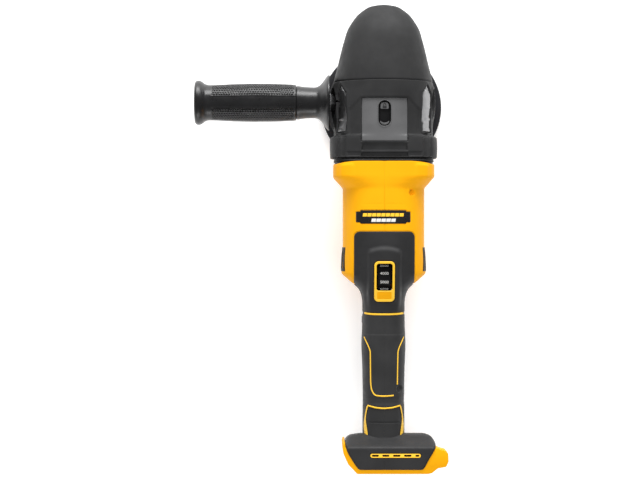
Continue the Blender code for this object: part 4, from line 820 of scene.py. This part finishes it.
def build_lock_button():
    """The spindle lock button: a sunk capsule with a raised icon pad and heel, and a rim round its slot."""
    cap = slab("spindle_lock_cap", capsule((0, LOCK_Y), 24.4, 11.4, sides=16), 115.6, 119.3, DEEP, bevel=0.6,
               body="spindle_lock_button", replaces=["spindle_lock_button"])
    outline = [(-4.2, -8.9), (4.2, -8.9), (4.2, -4.4), (2.6, -2.2), (-2.6, -2.2), (-4.2, -4.4)]
    pad = slab("lock_icon_pad", rounded(outline, 1.2), 119, 121.2, PANEL, bevel=0.6, body="spindle_lock_button")
    arc = [math.radians(a) for a in range(200, 341, 10)]
    heel = [(5.1 * math.cos(a), -19.9 + 5.1 * math.sin(a)) for a in arc]
    heel += [(4.4 * math.cos(a), -19.6 + 3.1 * math.sin(a)) for a in reversed(arc)]
    back = slab("lock_button_heel", heel, 119, 121, PANEL, bevel=0.35, body="spindle_lock_button")
    icon_z = 121.3
    shackle = [(1.25 * math.cos(t), -4.9 + 1.5 * math.sin(t), icon_z) for t in np.linspace(0, math.pi, 14)]
    shackle = [(1.25, -6.2, icon_z)] + shackle + [(-1.25, -6.2, icon_z)]
    bow = bead("lock_icon_bow", shackle, [UP] * len(shackle), 0.7, 0.35, BLACK, body="spindle_lock_button")
    box = slab("lock_icon_body", rounded(rectangle(-1.9, -8.2, 1.9, -5.7), 0.4), 121, 121.7,
               BLACK, bevel=0.15, body="spindle_lock_button")
    pin = lathe("spindle_lock_pin", [(0.2, 75.6), (2.4, 75.6), (3, 76.4), (3, 116), (2.6, 116.4), (0.2, 116.4)],
                ORIGIN, UP, STEEL, 48, body="spindle_lock_button")
    place(pin, Matrix.Translation((0, LOCK_Y * MM, 0)))
    coil, count, sides, wire = [], 85, 8, 0.45  # three flat turns that stay under the pressed cap
    for i in range(count):
        angle, height = 6 * math.pi * i / (count - 1), 110.6 + 2.0 * i / (count - 1)
        ring = [(4.5 + wire * math.cos(b), height + wire * math.sin(b)) for b in np.linspace(0, 5.5, sides)]
        coil += [(radius * math.cos(angle), LOCK_Y + radius * math.sin(angle), z) for radius, z in ring]
    ends = [tuple(range(sides)), tuple(range((count - 1) * sides, count * sides))]
    faces = grid_faces(count, sides) + ends
    spring = finish_piece("lock_return_coil", coil, faces, STEEL, replaces=["lock_button_spring"])

    def rim_region(x, y):
        outer = box_distance(x, y, (0, LOCK_Y), (7.3, 13.9), 7.3)
        return np.maximum(outer, -box_distance(x, y, (0, LOCK_Y), (6.3, 12.9), 6.3))
    rim = draped("lock_slot_rim", rim_region, (-7.6, -27.4, 7.6, 1.0), lambda x, y: head_top(x, y, 0.5),
                 PANEL, 2.0, 0.3, 0.3)


def build_gear_case():
    """Cast aluminium gear case: shell inside the cover, two handle bosses, neck and retainer skirt."""
    def relief(x, y, z):
        rib = 0.8 * rise(np.abs(((y + 60) % 12) - 6) - 0.9, 0.8) * rise(np.abs(z - 84) - 20, 4)
        edge = polygon_distance(y, z, window_outline())
        stud_room = np.where(x < 0, rise(18.5 - np.hypot(y, z - MOTOR_Z), 1.2), 1.0)
        proud = 3.5 * rise(edge + 0.7, 0.7) * rise(30 - np.abs(x), 4) * stud_room
        return -4.2 + rib * rise(np.abs(y + 18) - 12, 4) + proud
    ys = stations([86, 85.6], [(85, -55.6, 1.2)], [-56, -56.4])
    shell = tube("gear_case_shell", HEAD_SKIN, ys, ALUMINIUM, relief, 6.5, 180, replaces=["gear_case"])
    low = helper(rectangle(-80, -70, 80, 120), 20, 58)
    slot = helper(capsule((0, LOCK_Y), 28, 14.6, sides=16), 104, 130)
    cut_with(shell, low, slot)
    neck = [(16.2, 40), (30.4, 34.2), (31, 34.8), (31, 44.5), (32.5, 46), (40.6, 46), (41.6, 47), (42.2, 56),
            (42.6, 61.6), (40, 62), (28.5, 62), (28.5, 42)]
    case_neck = lathe("gear_case_neck", neck, ORIGIN, UP, ALUMINIUM, 120)
    for side, label in ((1, "right"), (-1, "left")):
        boss = [(5.5, 36), (11.6, 36), (12.2, 40), (12.5, 44.8), (11.8, 45.5), (6.4, 45.5), (5.5, 44.6)]
        # Painted shade: the left boss is the same aluminium as the right, but is given the dark steel material
        # because it lies in shadow
        mat = ALUMINIUM if side > 0 else DARK_STEEL
        piece = lathe(f"handle_boss_{label}", boss, (0, 0, MOTOR_Z), (side, 0, 0), mat, 72)


def build_collar():
    """The dark ring between the head and the yellow housing."""
    def relief(x, y, z):
        return -0.5 * trench(y + 58.8, 0.8) - 1.4 * (y < -60.85)
    ys = [-57.05, -57.15, -57.4, -57.8, -58.2, -58.5, -58.8, -59.1, -59.5, -60.0, -60.4, -60.7, -60.95, -62,
          -64.6]
    collar = tube("collar", BODY_SKIN, ys, DEEP, relief, 6.0, 200, replaces=["fan_baffle"])


# ---------------------------------------------------------------- housing


def housing_relief(x, y, z):
    """The yellow housing: shoulder facets, a sunk seat for the top cover, screw recess and mould lines."""
    up = rise(84 - z, 6)
    seam = 0.45 * trench(x, 0.7)
    screw = 3.2 * rise(np.hypot(x - 28, (y + 92.4) * 0.85) - 2.6, 1.4) * up
    belt = 0.16 * trench(y + 104.5, 1.0) * rise(np.abs(x) - 22, 3) * up
    facet = rise(box_distance(np.abs(x), y, (37.5, -72.5), (6.5, 9), 3), 4) * up
    seat = 1.2 * rise(box_distance(x, y, (0, -172.6), (31.1, 41), 6), 0.6) * up
    badge = 0.7 * rise(badge_distance(x, y) - 0.5, 0.4) * up
    return facet - seam - screw - belt - seat - badge


def badge_distance(x, y):
    """The badge's outline: a long bar and a taller, shorter one."""
    long_bar = box_distance(x, y, (-1.3, -117.2), (27.4, 5.2), 0.6)
    tall_bar = box_distance(x, y, (-1.3, -117.2), (23.0, 6.6), 0.6)
    return np.minimum(long_bar, tall_bar)


def dial_room():
    """What is cut out of the housing and the soft skin for the dial."""
    return helper(rectangle(-8.8, -192.4, 8.8, -162), 92, 130)


def build_housing():
    """Left and right yellow clamshell halves: motor barrel, handle core and the neck above the foot."""
    runs = [(-63.6, -89, 0.9), (-89.3, -96, 0.45), (-97, -108, 0.9), (-108.3, -126, 0.45), (-127, -192, 0.9),
            (-194, -343, 2.6)]
    ys = stations([-60.95, -61.1, -61.5, -62, -62.8], runs)
    for side, label, node in ((-1, "left", "housing_left"), (1, "right", "housing_right")):
        half = half_tube(f"housing_{label}_shell", BODY_SKIN, ys, YELLOW, side, sunk_handle, 3.0, 120,
                         replaces=[node])
        cut_with(half, dial_room(), helper(rectangle(-10.4, -254, 10.4, -190.5), 30, 66))
        start, depth, straight, run = -67, 2.7, 24, 5.5  # the front edge curves back towards the sides
        for v in half.data.vertices:
            x, y, _ = v.co / MM
            if y > start:
                curve = min(1.0, max(0.0, abs(x) - straight) / straight) ** 2
                v.co.y -= MM * depth * curve * min(1.0, (y - start) / run)


def sunk_handle(x, y, z):
    """The housing's relief, dropping under the rubber behind the motor."""
    under = np.clip((-184.0 - y) / 3.0, 0, 1)
    return housing_relief(x, y, z) * (1 - under) - 2.3 * under


def grip_relief(x, y, z):
    """Soft skin of the handle: sunk side panels, ribs on the neck, screw notch, seam."""
    up, below = rise(MOTOR_Z - z, 6), rise(z - MOTOR_Z, 6)
    seam = 0.05 * trench(x, 0.6) * up + 0.35 * trench(x, 0.8) * below
    inner = 0.55 * rise(polygon_distance(x, y, grip_panel()), 1.0) * up
    neck = 0.9 * rise(polygon_distance(x, y, neck_panel()), 1.0) * up
    ribs = 0.5 * (trench(y + 325, 0.9) + trench(y + 341, 0.9)) * rise(np.abs(x) - 16.2, 1.5) * up
    screw = 2.0 * rise(np.hypot(x - 15.8, (y + 291) * 0.75) - 2.5, 0.9) * up
    waist = 0.5 * rise(np.abs(y + 303) - 3.4, 3.0) * up
    ring = 0.5 * trench(y + 214.6, 3.6)
    finger = 0.5 * sum(trench(y + c, 2.2) for c in range(262, 322, 6)) * below * rise(np.abs(x) - 13, 3)
    return inner - neck * 0.6 - ribs - screw - waist - seam - ring - finger


def grip_panel():
    """The sunk panel on the handle's top, the same on both sides of the middle."""
    right = [(9.6, -297.6), (12.4, -292.8), (13.5, -285), (13.9, -252.6), (15.7, -247.8), (18.9, -241),
             (21, -236)]
    return [(-x, y) for x, y in reversed(right)] + right


def neck_panel():
    """The sunk panel on top of the neck."""
    return [(-16, -307.8), (0, -310.5), (16, -307.8), (18.4, -317.8), (18.2, -326), (16.6, -343), (-16.6, -343),
            (-18.2, -326), (-18.4, -317.8)]


def build_grip():
    """Left and right soft skins over the handle, with the yellow lines moulded into them."""
    ys = stations([-185.6, -185.8, -186.2, -186.8],
                  [(-187.6, -232, 1.0), (-232.7, -300, 0.7), (-300.6, -343.4, 0.6)])
    for side, label, node in ((-1, "left", "grip_overmold_left"), (1, "right", "grip_overmold_right")):
        half = half_tube(f"grip_skin_{label}", BODY_SKIN, ys, RUBBER, side, grip_relief, 2.2, 130,
                         replaces=[node])
        slot = helper(rectangle(-10.2, -253.6, 10.2, -191), 30, 66)
        cut_with(half, slot, dial_room())
    build_grip_lines()


def build_grip_lines():
    """The yellow lines: a ring, one down each side of the panel, and a frame round the neck."""
    panel = rounded([(-19.9, -238.6), (-18.9, -241), (-15.7, -247.8), (-13.9, -252.6), (-13.5, -285),
                     (-12.6, -292.2), (-9.4, -297.4), (0, -298.1), (9.6, -297.4)], 3, closed=False)
    right = rounded([(19.9, -238.6), (18.9, -241), (15.7, -247.8), (13.9, -252.6), (13.3, -286.4)], 3,
                    closed=False)
    path, normals = [], []
    for a in np.linspace(0.5, math.pi - 0.5, 80):
        y = -213.7 - 1.6 * max(0, math.sin(a))
        x, z = (float(value[0]) for value in BODY_SKIN.points(y, np.array([a])))
        path.append((x, y, z))
        normals.append((x, 0, (z - MOTOR_Z) * 0.8))
    pieces = [bead("grip_ring_line", path, normals, 1.9, 0.45, LINE_YELLOW)]
    for name, line in (("grip_line_left", panel), ("grip_line_right", right)):
        pieces.append(bead(name, *surface_path(BODY_SKIN, line, 0.3), 1.5, 0.5, LINE_YELLOW, sink=0.9))
    brow = rounded([(-16.4, -308.0), (-8, -309.9), (0, -310.5), (8, -309.9), (16.4, -308.0)], 2, closed=False)
    pieces.append(bead("neck_line_top", *surface_path(BODY_SKIN, brow), 1.5, 0.5, LINE_YELLOW, sink=0.8))
    for side, label in ((-1, "left"), (1, "right")):
        pieces.append(neck_side_line(side, f"neck_line_{label}"))


def neck_side_line(side, name):
    """A yellow line down the neck's side that widens into a wedge near the foot."""
    places, inner, outer = zip((-308.2, 15.9, 17.3), (-312, 17.0, 18.3), (-317.8, 18.1, 19.3),
                               (-322, 18.4, 19.9), (-326, 18.1, 20.3), (-331, 17.3, 20.4), (-336, 16.6, 19.8),
                               (-340.6, 16.0, 18.8))
    ys = np.linspace(-308.2, -340.6, 60)
    inner, outer = (np.interp(-ys, -np.array(places), edge) for edge in (inner, outer))
    verts = []
    for y, a, b in zip(ys, inner, outer):
        row = []
        for t, lift in ((0, -0.6), (0, 0.2), (0.25, 0.5), (0.75, 0.5), (1, 0.2), (1, -0.6)):
            x = a + (b - a) * t
            row.append((side * x, y, float(BODY_SKIN.top(x, y)) + lift))
        verts += row
    faces = grid_faces(len(ys), 6, True, False) + [tuple(range(6)), tuple(range(len(verts) - 6, len(verts)))]
    return finish_piece(name, verts, faces, LINE_YELLOW)


# ---------------------------------------------------------------- top cover, badge and dial


def raised(x, y):
    """Height of the top cover over the skin: a plateau round the dial with sloping sides."""
    half = np.interp(-y, [140, 150, 205, 214], [15.0, 16.4, 15.2, 13.5])
    front = rise(y + 148.5 + 0.012 * x**2, 6.5)
    side = rise(np.abs(x) - half, 5.5)
    rear = np.interp(-y, [140, 196, 213.5], [1.0, 1.0, 0.12])
    return 0.35 + 3.0 * front * side * rear


def frame_outline(x, y):
    """The outer edge of the frame round the dial's window."""
    return box_distance(x, y, (0, SEAT_Y), (10.3, 20.4), 4.4)


def build_dial_cover():
    def edge(y):
        d = -131.9 - y
        corner = 6 - math.sqrt(max(0.0, 36 - (6 - min(6, d)) ** 2)) if d < 6 else 0
        return 30.7 - corner
    ys = stations([-131.9, -132.0, -132.2, -132.5, -132.9], [(-133.4, -138, 0.5), (-138.6, -212.8, 0.7)],
                  [-213.1, -213.3, -213.4])

    def grow(x, y):
        gap = 0.9 * rise(np.abs(frame_outline(x, y) - 0.2) - 0.5, 0.6)
        return raised(x, y) - gap
    cover = patch("dial_cover_shell", BODY_SKIN, ys, edge, BLACK, grow, 2.6, 0.8, 130, replaces=["dial_cover"])
    cut_with(cover, helper(rounded(rectangle(-8.05, -191.2, 8.05, -163.8), 1.2), 95, 130))


def cover_top(x, y):
    """Height of the top cover's surface."""
    return BODY_SKIN.top(x, y) + raised(x, y)


def build_bezel():
    """Yellow frame round the dial's window, with a solid block at its rear end."""
    def region(x, y):
        return np.maximum(frame_outline(x, y), -box_distance(x, y, (0, -177.6), (8.0, 13.6), 2.4))

    def height(x, y):
        pocket = rise(box_distance(x, y, (0, -196.2), (7.7, 4.0), 1.2), 0.8)
        return cover_top(x, y) + 0.75 - 0.5 * pocket
    bezel = draped("dial_frame", region, (-10.8, -203, 10.8, -161.2), height, LINE_YELLOW, 1.5, 0.4, 0.4,
                   replaces=["dial_bezel"])
    pad = draped("dial_frame_pad", lambda x, y: box_distance(x, y, (0, -196.2), (7.3, 3.6), 1.0),
                 (-7.6, -200, 7.6, -192.4), lambda x, y: cover_top(x, y) + 0.45, YELLOW, 0.6, 0.4, 0.2)


def build_dial():
    """The thumb wheel: a ribbed rim either side of a smooth band with white figures."""
    radius, half = 16.0, 6.4
    middle = np.linspace(-half + 0.5, half - 0.5, 26)
    across = np.concatenate([[-half, -half + 0.15], middle, [half - 0.15, half]])
    steps = 264
    angles = 2 * math.pi * np.arange(steps) / steps
    rib_count, rib_height, bore = 33, 0.45, 3.2
    wave = rib_height * rise(np.abs(((angles * rib_count / (2 * math.pi)) % 1) - 0.5) - 0.2, 0.16)
    sizes = [(-half, bore)]
    for x in across:
        rim = 0.5 * max(0.0, (abs(x) - half + 0.5) / 0.5)
        ribbed = float(rise(4.9 - abs(x), 0.5))
        sizes.append((x, radius - rim - 0.35 * (1 - ribbed) - rib_height + wave * ribbed))
    sizes.append((half, bore))
    rings = [np.stack([np.full(steps, x), r * np.cos(angles), r * np.sin(angles)], 1)
             + np.array([0, DIAL_Y, DIAL_Z]) for x, r in sizes]
    wheel = closed_rings("speed_wheel", rings, DEEP, "speed_dial", ["speed_dial"])
    figure_step, fourth = 33, 13  # degrees between figures, and where the fourth one is
    for k in range(8):
        angle = math.radians(fourth + figure_step * (3 - k))
        figure(f"speed_figure_{k + 1}", f"{k + 1}000", angle, radius - 0.72)


def figure(name, text, angle, radius):
    """A white number wrapped onto the wheel, read from behind. angle is from the top, towards the nose."""
    curve = bpy.data.curves.new(name, "FONT")
    curve.body = text
    curve.align_x, curve.align_y = "CENTER", "CENTER"
    curve.size, curve.extrude = 3.9, 0.12
    holder = bpy.data.objects.new(name, curve)
    bpy.context.scene.collection.objects.link(holder)
    mesh = bpy.data.meshes.new_from_object(holder.evaluated_get(bpy.context.evaluated_depsgraph_get()))
    bpy.data.objects.remove(holder)
    bm = bmesh.new()
    bm.from_mesh(mesh)
    bmesh.ops.remove_doubles(bm, verts=bm.verts, dist=0.0001)
    low = min(v.co.x for v in bm.verts)
    high = max(v.co.x for v in bm.verts)
    for v in bm.verts:
        across = (v.co.x - (low + high) / 2) * 1.12
        turn, r = angle + v.co.y / radius, radius + v.co.z + 0.12
        v.co = Vector((across, DIAL_Y + r * math.sin(turn), DIAL_Z + r * math.cos(turn))) * MM
    bm.to_mesh(mesh)
    bm.free()
    obj = bpy.data.objects.new(name, mesh)
    bpy.context.scene.collection.objects.link(obj)
    mesh.materials.append(WHITE)
    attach(obj, "speed_dial")


def build_badge():
    """A blank plate with a row of yellow and a row of white blocks in place of lettering."""
    plate = draped("badge_plate", badge_distance, (-29.2, -124.4, 26.6, -110),
                   lambda x, y: BODY_SKIN.top(x, y) + 0.35, PLATE, 1.6, 0.45, 0.3, replaces=["name_badge"])
    high, lean, gap = 3.3, 0.5, 0.55
    rows = [("top", -115.1, -22.0, 4.05, 9, LINE_YELLOW), ("low", -120.5, -13.4, 4.4, 5, WHITE)]
    for row, y, start, width, count, mat in rows:
        for k in range(count):
            x = start + (width + gap) * k
            corners = rectangle(x, y - high / 2, x + width, y + high / 2)
            corners[2:] = [(px + lean, py) for px, py in corners[2:]]
            area = (x - 0.5, y - high, x + width + 1, y + high)
            block = draped(f"badge_{row}_{k + 1}", lambda px, py, c=corners: polygon_distance(px, py, c), area,
                           lambda px, py: BODY_SKIN.top(px, py) + 0.5, mat, 0.4, 0.35, 0.08)


def build_intake_screens():
    """Black air-intake screens on both sides, with louvre slots."""
    for side, label in ((-1, "left"), (1, "right")):
        ys, zs = steps_between(-147.6, -172.0, 0.35), steps_between(58.5, 99.5, 0.5)
        gy, gz = np.meshgrid(ys, zs)
        border = box_distance(gy, gz, (SCREEN_Y, SCREEN_Z), (12.2, 20.5), 2.0)
        pitch, proud, rim = 4.8, 0.5, 0.9
        slots = trench(((gz - SCREEN_Z + pitch / 2) % pitch) - pitch / 2, 2.6) * rise(border + 3.0, 0.8)
        roll = 1 - np.sqrt(np.clip(1 - (1 + np.clip(border / rim, -1, 0)) ** 2, 0, 1))
        lift = proud - proud * roll - slots
        x = BODY_SKIN.side(gy, gz) + lift
        back = BODY_SKIN.side(gy, gz) - 1.6
        rows, columns = gy.shape
        front = np.stack([side * x, gy, gz], 2).reshape(-1, 3)
        rear = np.stack([side * back, gy, gz], 2).reshape(-1, 3)
        behind = rows * columns
        faces = grid_faces(rows, columns, False)
        faces += [tuple(v + behind for v in face) for face in faces]
        round_it = list(range(columns)) + [i * columns + columns - 1 for i in range(1, rows)]
        round_it += [(rows - 1) * columns + j for j in range(columns - 2, -1, -1)]
        round_it += [i * columns for i in range(rows - 2, 0, -1)]
        faces += [(a, b, b + behind, a + behind) for a, b in zip(round_it, round_it[1:] + round_it[:1])]
        screen = finish_piece(f"intake_louvre_{label}", np.concatenate([front, rear]), faces, DEEP,
                              replaces=[f"intake_screen_{label}"])


# ---------------------------------------------------------------- foot

# The outlines of the black foot and of the yellow base under it, seen from above
FOOT = [(-25.6, -371.2), (39, -371.2), (41.7, -366.5), (44.8, -360.5), (48.6, -354.4), (51.8, -348.5),
        (51.6, -344.5), (47.7, -338.6), (41.9, -336.5), (-25, -336.5), (-35.5, -338.4), (-39.2, -343),
        (-38.9, -349), (-36.9, -354.4), (-32.6, -361.4), (-29, -367)]
BASE = [(-27.5, -375.4), (43.5, -375.4), (47.5, -374.6), (53.6, -369.7), (62, -368.2), (64.4, -363), (64, -355),
        (61.5, -352), (56, -350.6), (52.4, -349.2), (44, -354), (-35.6, -354), (-39.1, -349), (-39.5, -345.4),
        (-41.3, -344.5), (-42.4, -348.5), (-41.2, -355), (-36.6, -365.5)]


def foot_top(x, y, outline):
    """Upper surface of the foot: a front face that slopes up to a flat top, with rounded rims."""
    inside = -polygon_distance(x, y, outline)
    drops = [0, 0.25, 1, 2.9, 5.6, 14.4, 20.5]
    front = np.interp(y, [-350.4, -349.4, -348.4, -347, -345.5, -341, -336], drops)
    rim = np.interp(y, [-362, -350.5, -345.5], [1.3, 1.7, 4.6])
    roll = rim - np.sqrt(np.clip(rim**2 - np.clip(rim - inside, 0, rim) ** 2, 0, None))
    seam = 0.4 * trench(x + 0.2, 0.7) * rise(y + 361.6, 0.8)
    lozenge = 0.9 * rise(box_distance(x, y, BAR, (25.6, 2.2), 2.1) - 0.3, 0.4)
    return 118.9 - front - roll - seam - lozenge


def build_foot():
    """The foot's black core: two surfaces joined round a rounded outline, open at the rear for the battery."""
    outline = rounded(FOOT, 3.0)

    def height(x, y):
        return foot_top(x, y, outline)
    foot = draped("foot_shell", lambda x, y: polygon_distance(x, y, outline), (-40, -374, 53.5, -335.6), height,
                  BLACK, 0.0, 0.9, 0.0, floor=lambda x, y: 2 * MOTOR_Z - height(x, y) + 1.2)
    rooms = [helper(rectangle(-25.5, -371.5, 40, -349), 56, 104),
             helper(rectangle(-60, -380, 36.4, -362.4), 46.6, 113.4)]
    slots = [helper(capsule(((a + b) / 2, BAR[1]), b - a, 2.4, "X", 6), 100, 125) for a, b in slot_spans()]
    cut_with(foot, *rooms, *slots)
    start, share, run = -351, 0.34, 30  # the lower front edge is drawn back under the upper one
    for v in foot.data.vertices:
        _, y, z = v.co / MM
        if z < MOTOR_Z and y > start:
            v.co.y -= MM * (y - start) * share * min(1.0, (MOTOR_Z - z) / run)
    collar_rings()


def slot_spans():
    """Where each slot in the foot's bar begins and ends along X."""
    return [(-12.7, -5.9), (-2.2, 4.7), (8.5, 15.9), (19.5, 27.0), (31.0, 34.8)]


def collar_rings():
    """Root of the neck where it meets the foot: a plain loft that widens towards the foot."""
    skin = Skin([(-338.5, 17.2, 80, 103.6, 56.4, 2.6), (-341.5, 18.0, 80, 104.6, 55.4, 2.7),
                 (-344.5, 20.5, 80, 107.2, 52.8, 2.9), (-347.5, 23.6, 80, 110.6, 49.4, 3.1),
                 (-350.2, 26.5, 80, 114.5, 45.5, 3.2)])
    root = tube("neck_root", skin, steps_between(-338.5, -350.2, 0.5), BLACK, None, 8.0, 140)


def build_lozenge():
    """The yellow slotted bar on the foot's top."""
    def region(x, y):
        outer = box_distance(x, y, BAR, (25.3, 1.95), 1.9)
        for a, b in slot_spans():
            outer = np.maximum(outer, -box_distance(x, y, ((a + b) / 2, BAR[1]), ((b - a) / 2, 1.0), 0.9))
        return outer
    bar = draped("foot_vent_bar", region, (-15, -359.4, 38, -354.2), lambda x, y: np.full(np.shape(x), 119.25),
                 LINE_YELLOW, 1.3, 0.3, 0.25)


def build_base():
    """The yellow battery base: an end plate with the rail channel, and the stop tab."""
    base = slab("battery_base_shell", rounded(BASE, 0.9), 43, 117, YELLOW, bevel=0.8, replaces=["battery_base"])
    tools = [helper(rectangle(-60, -390, 10.6, -370.4), 51.6, 108.4),
             helper(rectangle(-60.5, -374, 36.9, -361.4), 46.1, 113.9),
             helper(rectangle(-26.5, -372, 41, -348), 55, 105),
             helper(rectangle(-15, -360, 38, -353.2), 100, 121),
             helper(rectangle(53.3, -385, 70, -341), 31, 93)]
    cut_with(base, *tools)


# ---------------------------------------------------------------- trigger and lock-on button


def build_trigger():
    """The trigger: a curved paddle with rounded edges."""
    front = [(-190.6, 66), (-190.8, 60), (-193, 55.5), (-200, 51.4), (-212, 48.2), (-226, 45), (-238, 41.6),
             (-245, 39.8), (-249, 40.4), (-251.4, 43.4), (-252, 48), (-252.4, 60), (-251.6, 65.6)]
    profile = rounded(front, 2.5)
    trigger = slab("trigger_paddle", profile, -9.6, 9.6, BLACK, "X", 1.6, body="trigger")
    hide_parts("trigger")


def build_lock_on_button():
    """The lock-on button: a turned cap with a shallow dish, where the CAD button is."""
    low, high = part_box("lock_on_button")
    inner, outer = (high, low) if abs(high[0]) < abs(low[0]) else (low, high)
    side = 1 if outer[0] > 0 else -1
    radius = (high[2] - low[2]) / 2 / MM
    start, end = abs(inner[0]) / MM, abs(outer[0]) / MM
    profile = [(0.2, start), (radius - 0.3, start), (radius, start + 0.3), (radius, end - 0.9),
               (radius - 0.25, end - 0.3), (radius - 0.9, end), (radius - 1.4, end - 0.05),
               (radius - 2.2, end - 0.35), (0.2, end - 0.6)]
    middle = ((low[1] + high[1]) / 2 / MM, (low[2] + high[2]) / 2 / MM)
    cap = lathe("lock_on_cap", profile, (0, *middle), (side, 0, 0), BLACK, 64, body="lock_on_button",
                replaces=["lock_on_button"])


# ---------------------------------------------------------------- side handle


def build_side_handle():
    """Flanged core, dotted rubber sleeve and steel stud, turned about an axis along -X."""
    at, axis = (0, 0, MOTOR_Z), (-1, 0, 0)
    core = [(0.6, 60), (6, 54.6), (27.4, 54.6), (28.0, 55.0), (28.3, 55.8), (28.2, 56.5), (27.2, 57.6),
            (25.6, 58.9), (22.3, 61.0), (19.5, 63.2), (17.6, 65.2), (16.4, 67.2), (15.8, 69.6), (15.8, 73),
            (16.1, 79), (16.7, 84), (17.3, 87.4), (17.2, 88.1), (16.5, 88.4), (16.4, 88.85), (0.6, 88.85)]
    body = lathe("side_handle_base", core, at, axis, HANDLE_RUBBER, 128, replaces=["side_handle_core"])
    sleeve = dotted_sleeve()
    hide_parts("side_handle_sleeve")
    cone_shape = [(5.4, 45.9), (6.4, 45.9), (9.6, 54.0), (9.6, 54.4), (5.4, 54.4)]
    cone = lathe("stud_collar", cone_shape, at, axis, STEEL, 6, sharp=15)
    stud = [(0.3, 30), (3.6, 30), (4.2, 31)]
    for k in range(10):
        stud += [(4.95, 31.6 + k * 1.5), (4.95, 32.0 + k * 1.5), (4.35, 32.5 + k * 1.5)]
    stud += [(5.0, 47), (5.0, 58), (0.3, 58)]
    thread = lathe("side_handle_thread", stud, at, axis, STEEL, 64, replaces=["side_handle_stud"])


def dotted_sleeve():
    """The sleeve: bands of sunk dots, a smooth sunk strip along the top and bottom, and a flared end."""
    lip = {88.9: 17.3, 89.1: 17.7, 89.4: 18.0}  # distance along the handle and radius there
    tail = {189.8: 22.7, 190.5: 22.55, 191.2: 22.2, 191.9: 21.5, 192.4: 20.6, 192.7: 19.5, 192.9: 17, 193.0: 12,
            193.1: 4}
    ends = {**lip, **tail}
    radius = Curve([88.9, 90.4, 97, 115, 130, 150, 165, 174, 178.5, 182, 185.4, 188.2, 189.2],
                   [17.6, 18.3, 18.8, 19.45, 19.55, 19.2, 18.5, 18.1, 18.2, 19.2, 21.6, 22.7, 22.75])
    along = stations([*lip, 90], [(90.5, 178, 0.42), (178.8, 189.2, 0.6)], [*tail])
    steps, sizes = 300, []
    angles = 2 * math.pi * np.arange(steps) / steps
    for s in along:
        r = ends.get(float(s), float(radius(s)))
        turn = np.abs(((angles + math.pi / 2) % math.pi) - math.pi / 2)  # 0 towards +Z and -Z
        band = rise(0.36 - turn, 0.12) * rise(turn - 1.28, 0.1) * float(rise(abs(s - 133) - 41.5, 2))
        row = 2.55
        across = turn * 19.0
        k = np.round(across / row)
        shift = (k % 2) * row / 2
        near = ((s + shift) / row) - np.round((s + shift) / row)
        dot = rise(np.hypot(near * row, across - k * row) - 0.8, 0.45)
        strip = rise(turn - 0.3, 0.05) * float(rise(abs(s - 133) - 43.5, 1.5))
        height = r - 0.95 * dot * band - 0.35 * strip
        sizes.append((s, height))
    sizes += [(193.1, 0.3), (88.9, 0.3)]
    rings = [np.stack([np.full(steps, -s), r * np.sin(angles), MOTOR_Z + r * np.cos(angles)], 1)
             for s, r in sizes]
    return closed_rings("side_handle_grip", rings, HANDLE_RUBBER)


# ---------------------------------------------------------------- carried-over CAD nodes

SCREW_COUNTS = {"housing_screw": 5, "gear_case_screw": 4, "retainer_screw": 3}
SCREWS = [f"{name}_{k + 1}" for name, count in SCREW_COUNTS.items() for k in range(count)]
CARRIED = {
    STEEL: SCREWS + ["spindle_bearing", "front_motor_bearing", "rear_motor_bearing", "spindle", "motor_shaft",
                     "trigger_pin"],
    DARK_STEEL: ["bearing_retainer", "bevel_gear", "bevel_pinion"],
    LAMINATION: ["stator_core", "rotor_core"],
    COPPER: ["winding_front", "winding_rear"],
    BRASS: ["spindle_top_bush"],
    BLACK: ["rear_bearing_holder", "terminal_block", "switch_module", "dial_sensor", "cooling_fan"],
    POTTING: ["control_module"],
}


def dress_cad_nodes():
    for mat, names in CARRIED.items():
        for name in names:
            slots = NODES[name].data.materials
            slots.clear()
            slots.append(mat)


# ---------------------------------------------------------------- stage


def build_stage():
    bpy.ops.mesh.primitive_plane_add(size=40)
    floor = bpy.context.object
    floor.name = "studio_floor"
    floor.data.materials.append(FLOOR)
    world = bpy.data.worlds.new("studio")
    world.use_nodes = True
    world.node_tree.nodes["Background"].inputs["Color"].default_value = (1, 1, 1, 1)
    world.node_tree.nodes["Background"].inputs["Strength"].default_value = 0.14
    bpy.context.scene.world = world
    lights = [
        ("front_softbox", (0, 1.7, 0.75), (0, -0.05, 0.05), 2.2, 0.9, 70, True),
        ("rear_softbox", (0, -2.0, 0.7), (0, -0.2, 0.05), 2.0, 0.7, 17, True),
        ("overhead_softbox", (-0.05, 0.1, 3.0), (0, -0.15, 0), 2.4, 2.4, 66, False),
    ]
    for name, at, target, wide, deep, power, glossy in lights:
        data = bpy.data.lights.new(name, "AREA")
        data.shape = "RECTANGLE"
        data.size, data.size_y, data.energy = wide, deep, power
        lamp = bpy.data.objects.new(name, data)
        lamp.location = at
        lamp.visible_glossy = glossy
        lamp.rotation_mode = "QUATERNION"
        lamp.rotation_quaternion = (Vector(target) - Vector(at)).to_track_quat("-Z", "Y")
        bpy.context.scene.collection.objects.link(lamp)


def build_camera():
    data = bpy.data.cameras.new("camera")
    data.lens, data.sensor_width = 112.5, 36
    camera = bpy.data.objects.new("camera", data)
    camera.location = (-0.0648, -0.1403, 2.125)
    camera.rotation_euler = (0, 0, 0)
    bpy.context.scene.collection.objects.link(camera)
    bpy.context.scene.camera = camera


bpy.context.scene.view_settings.view_transform = "Standard"
build_pad()
build_nose()
build_gear_case_cover()
build_lock_button()
build_gear_case()
build_collar()
build_housing()
build_grip()
build_dial_cover()
build_bezel()
build_dial()
build_badge()
build_intake_screens()
build_foot()
build_lozenge()
build_base()
build_trigger()
build_lock_on_button()
build_side_handle()
dress_cad_nodes()
build_stage()
build_camera()
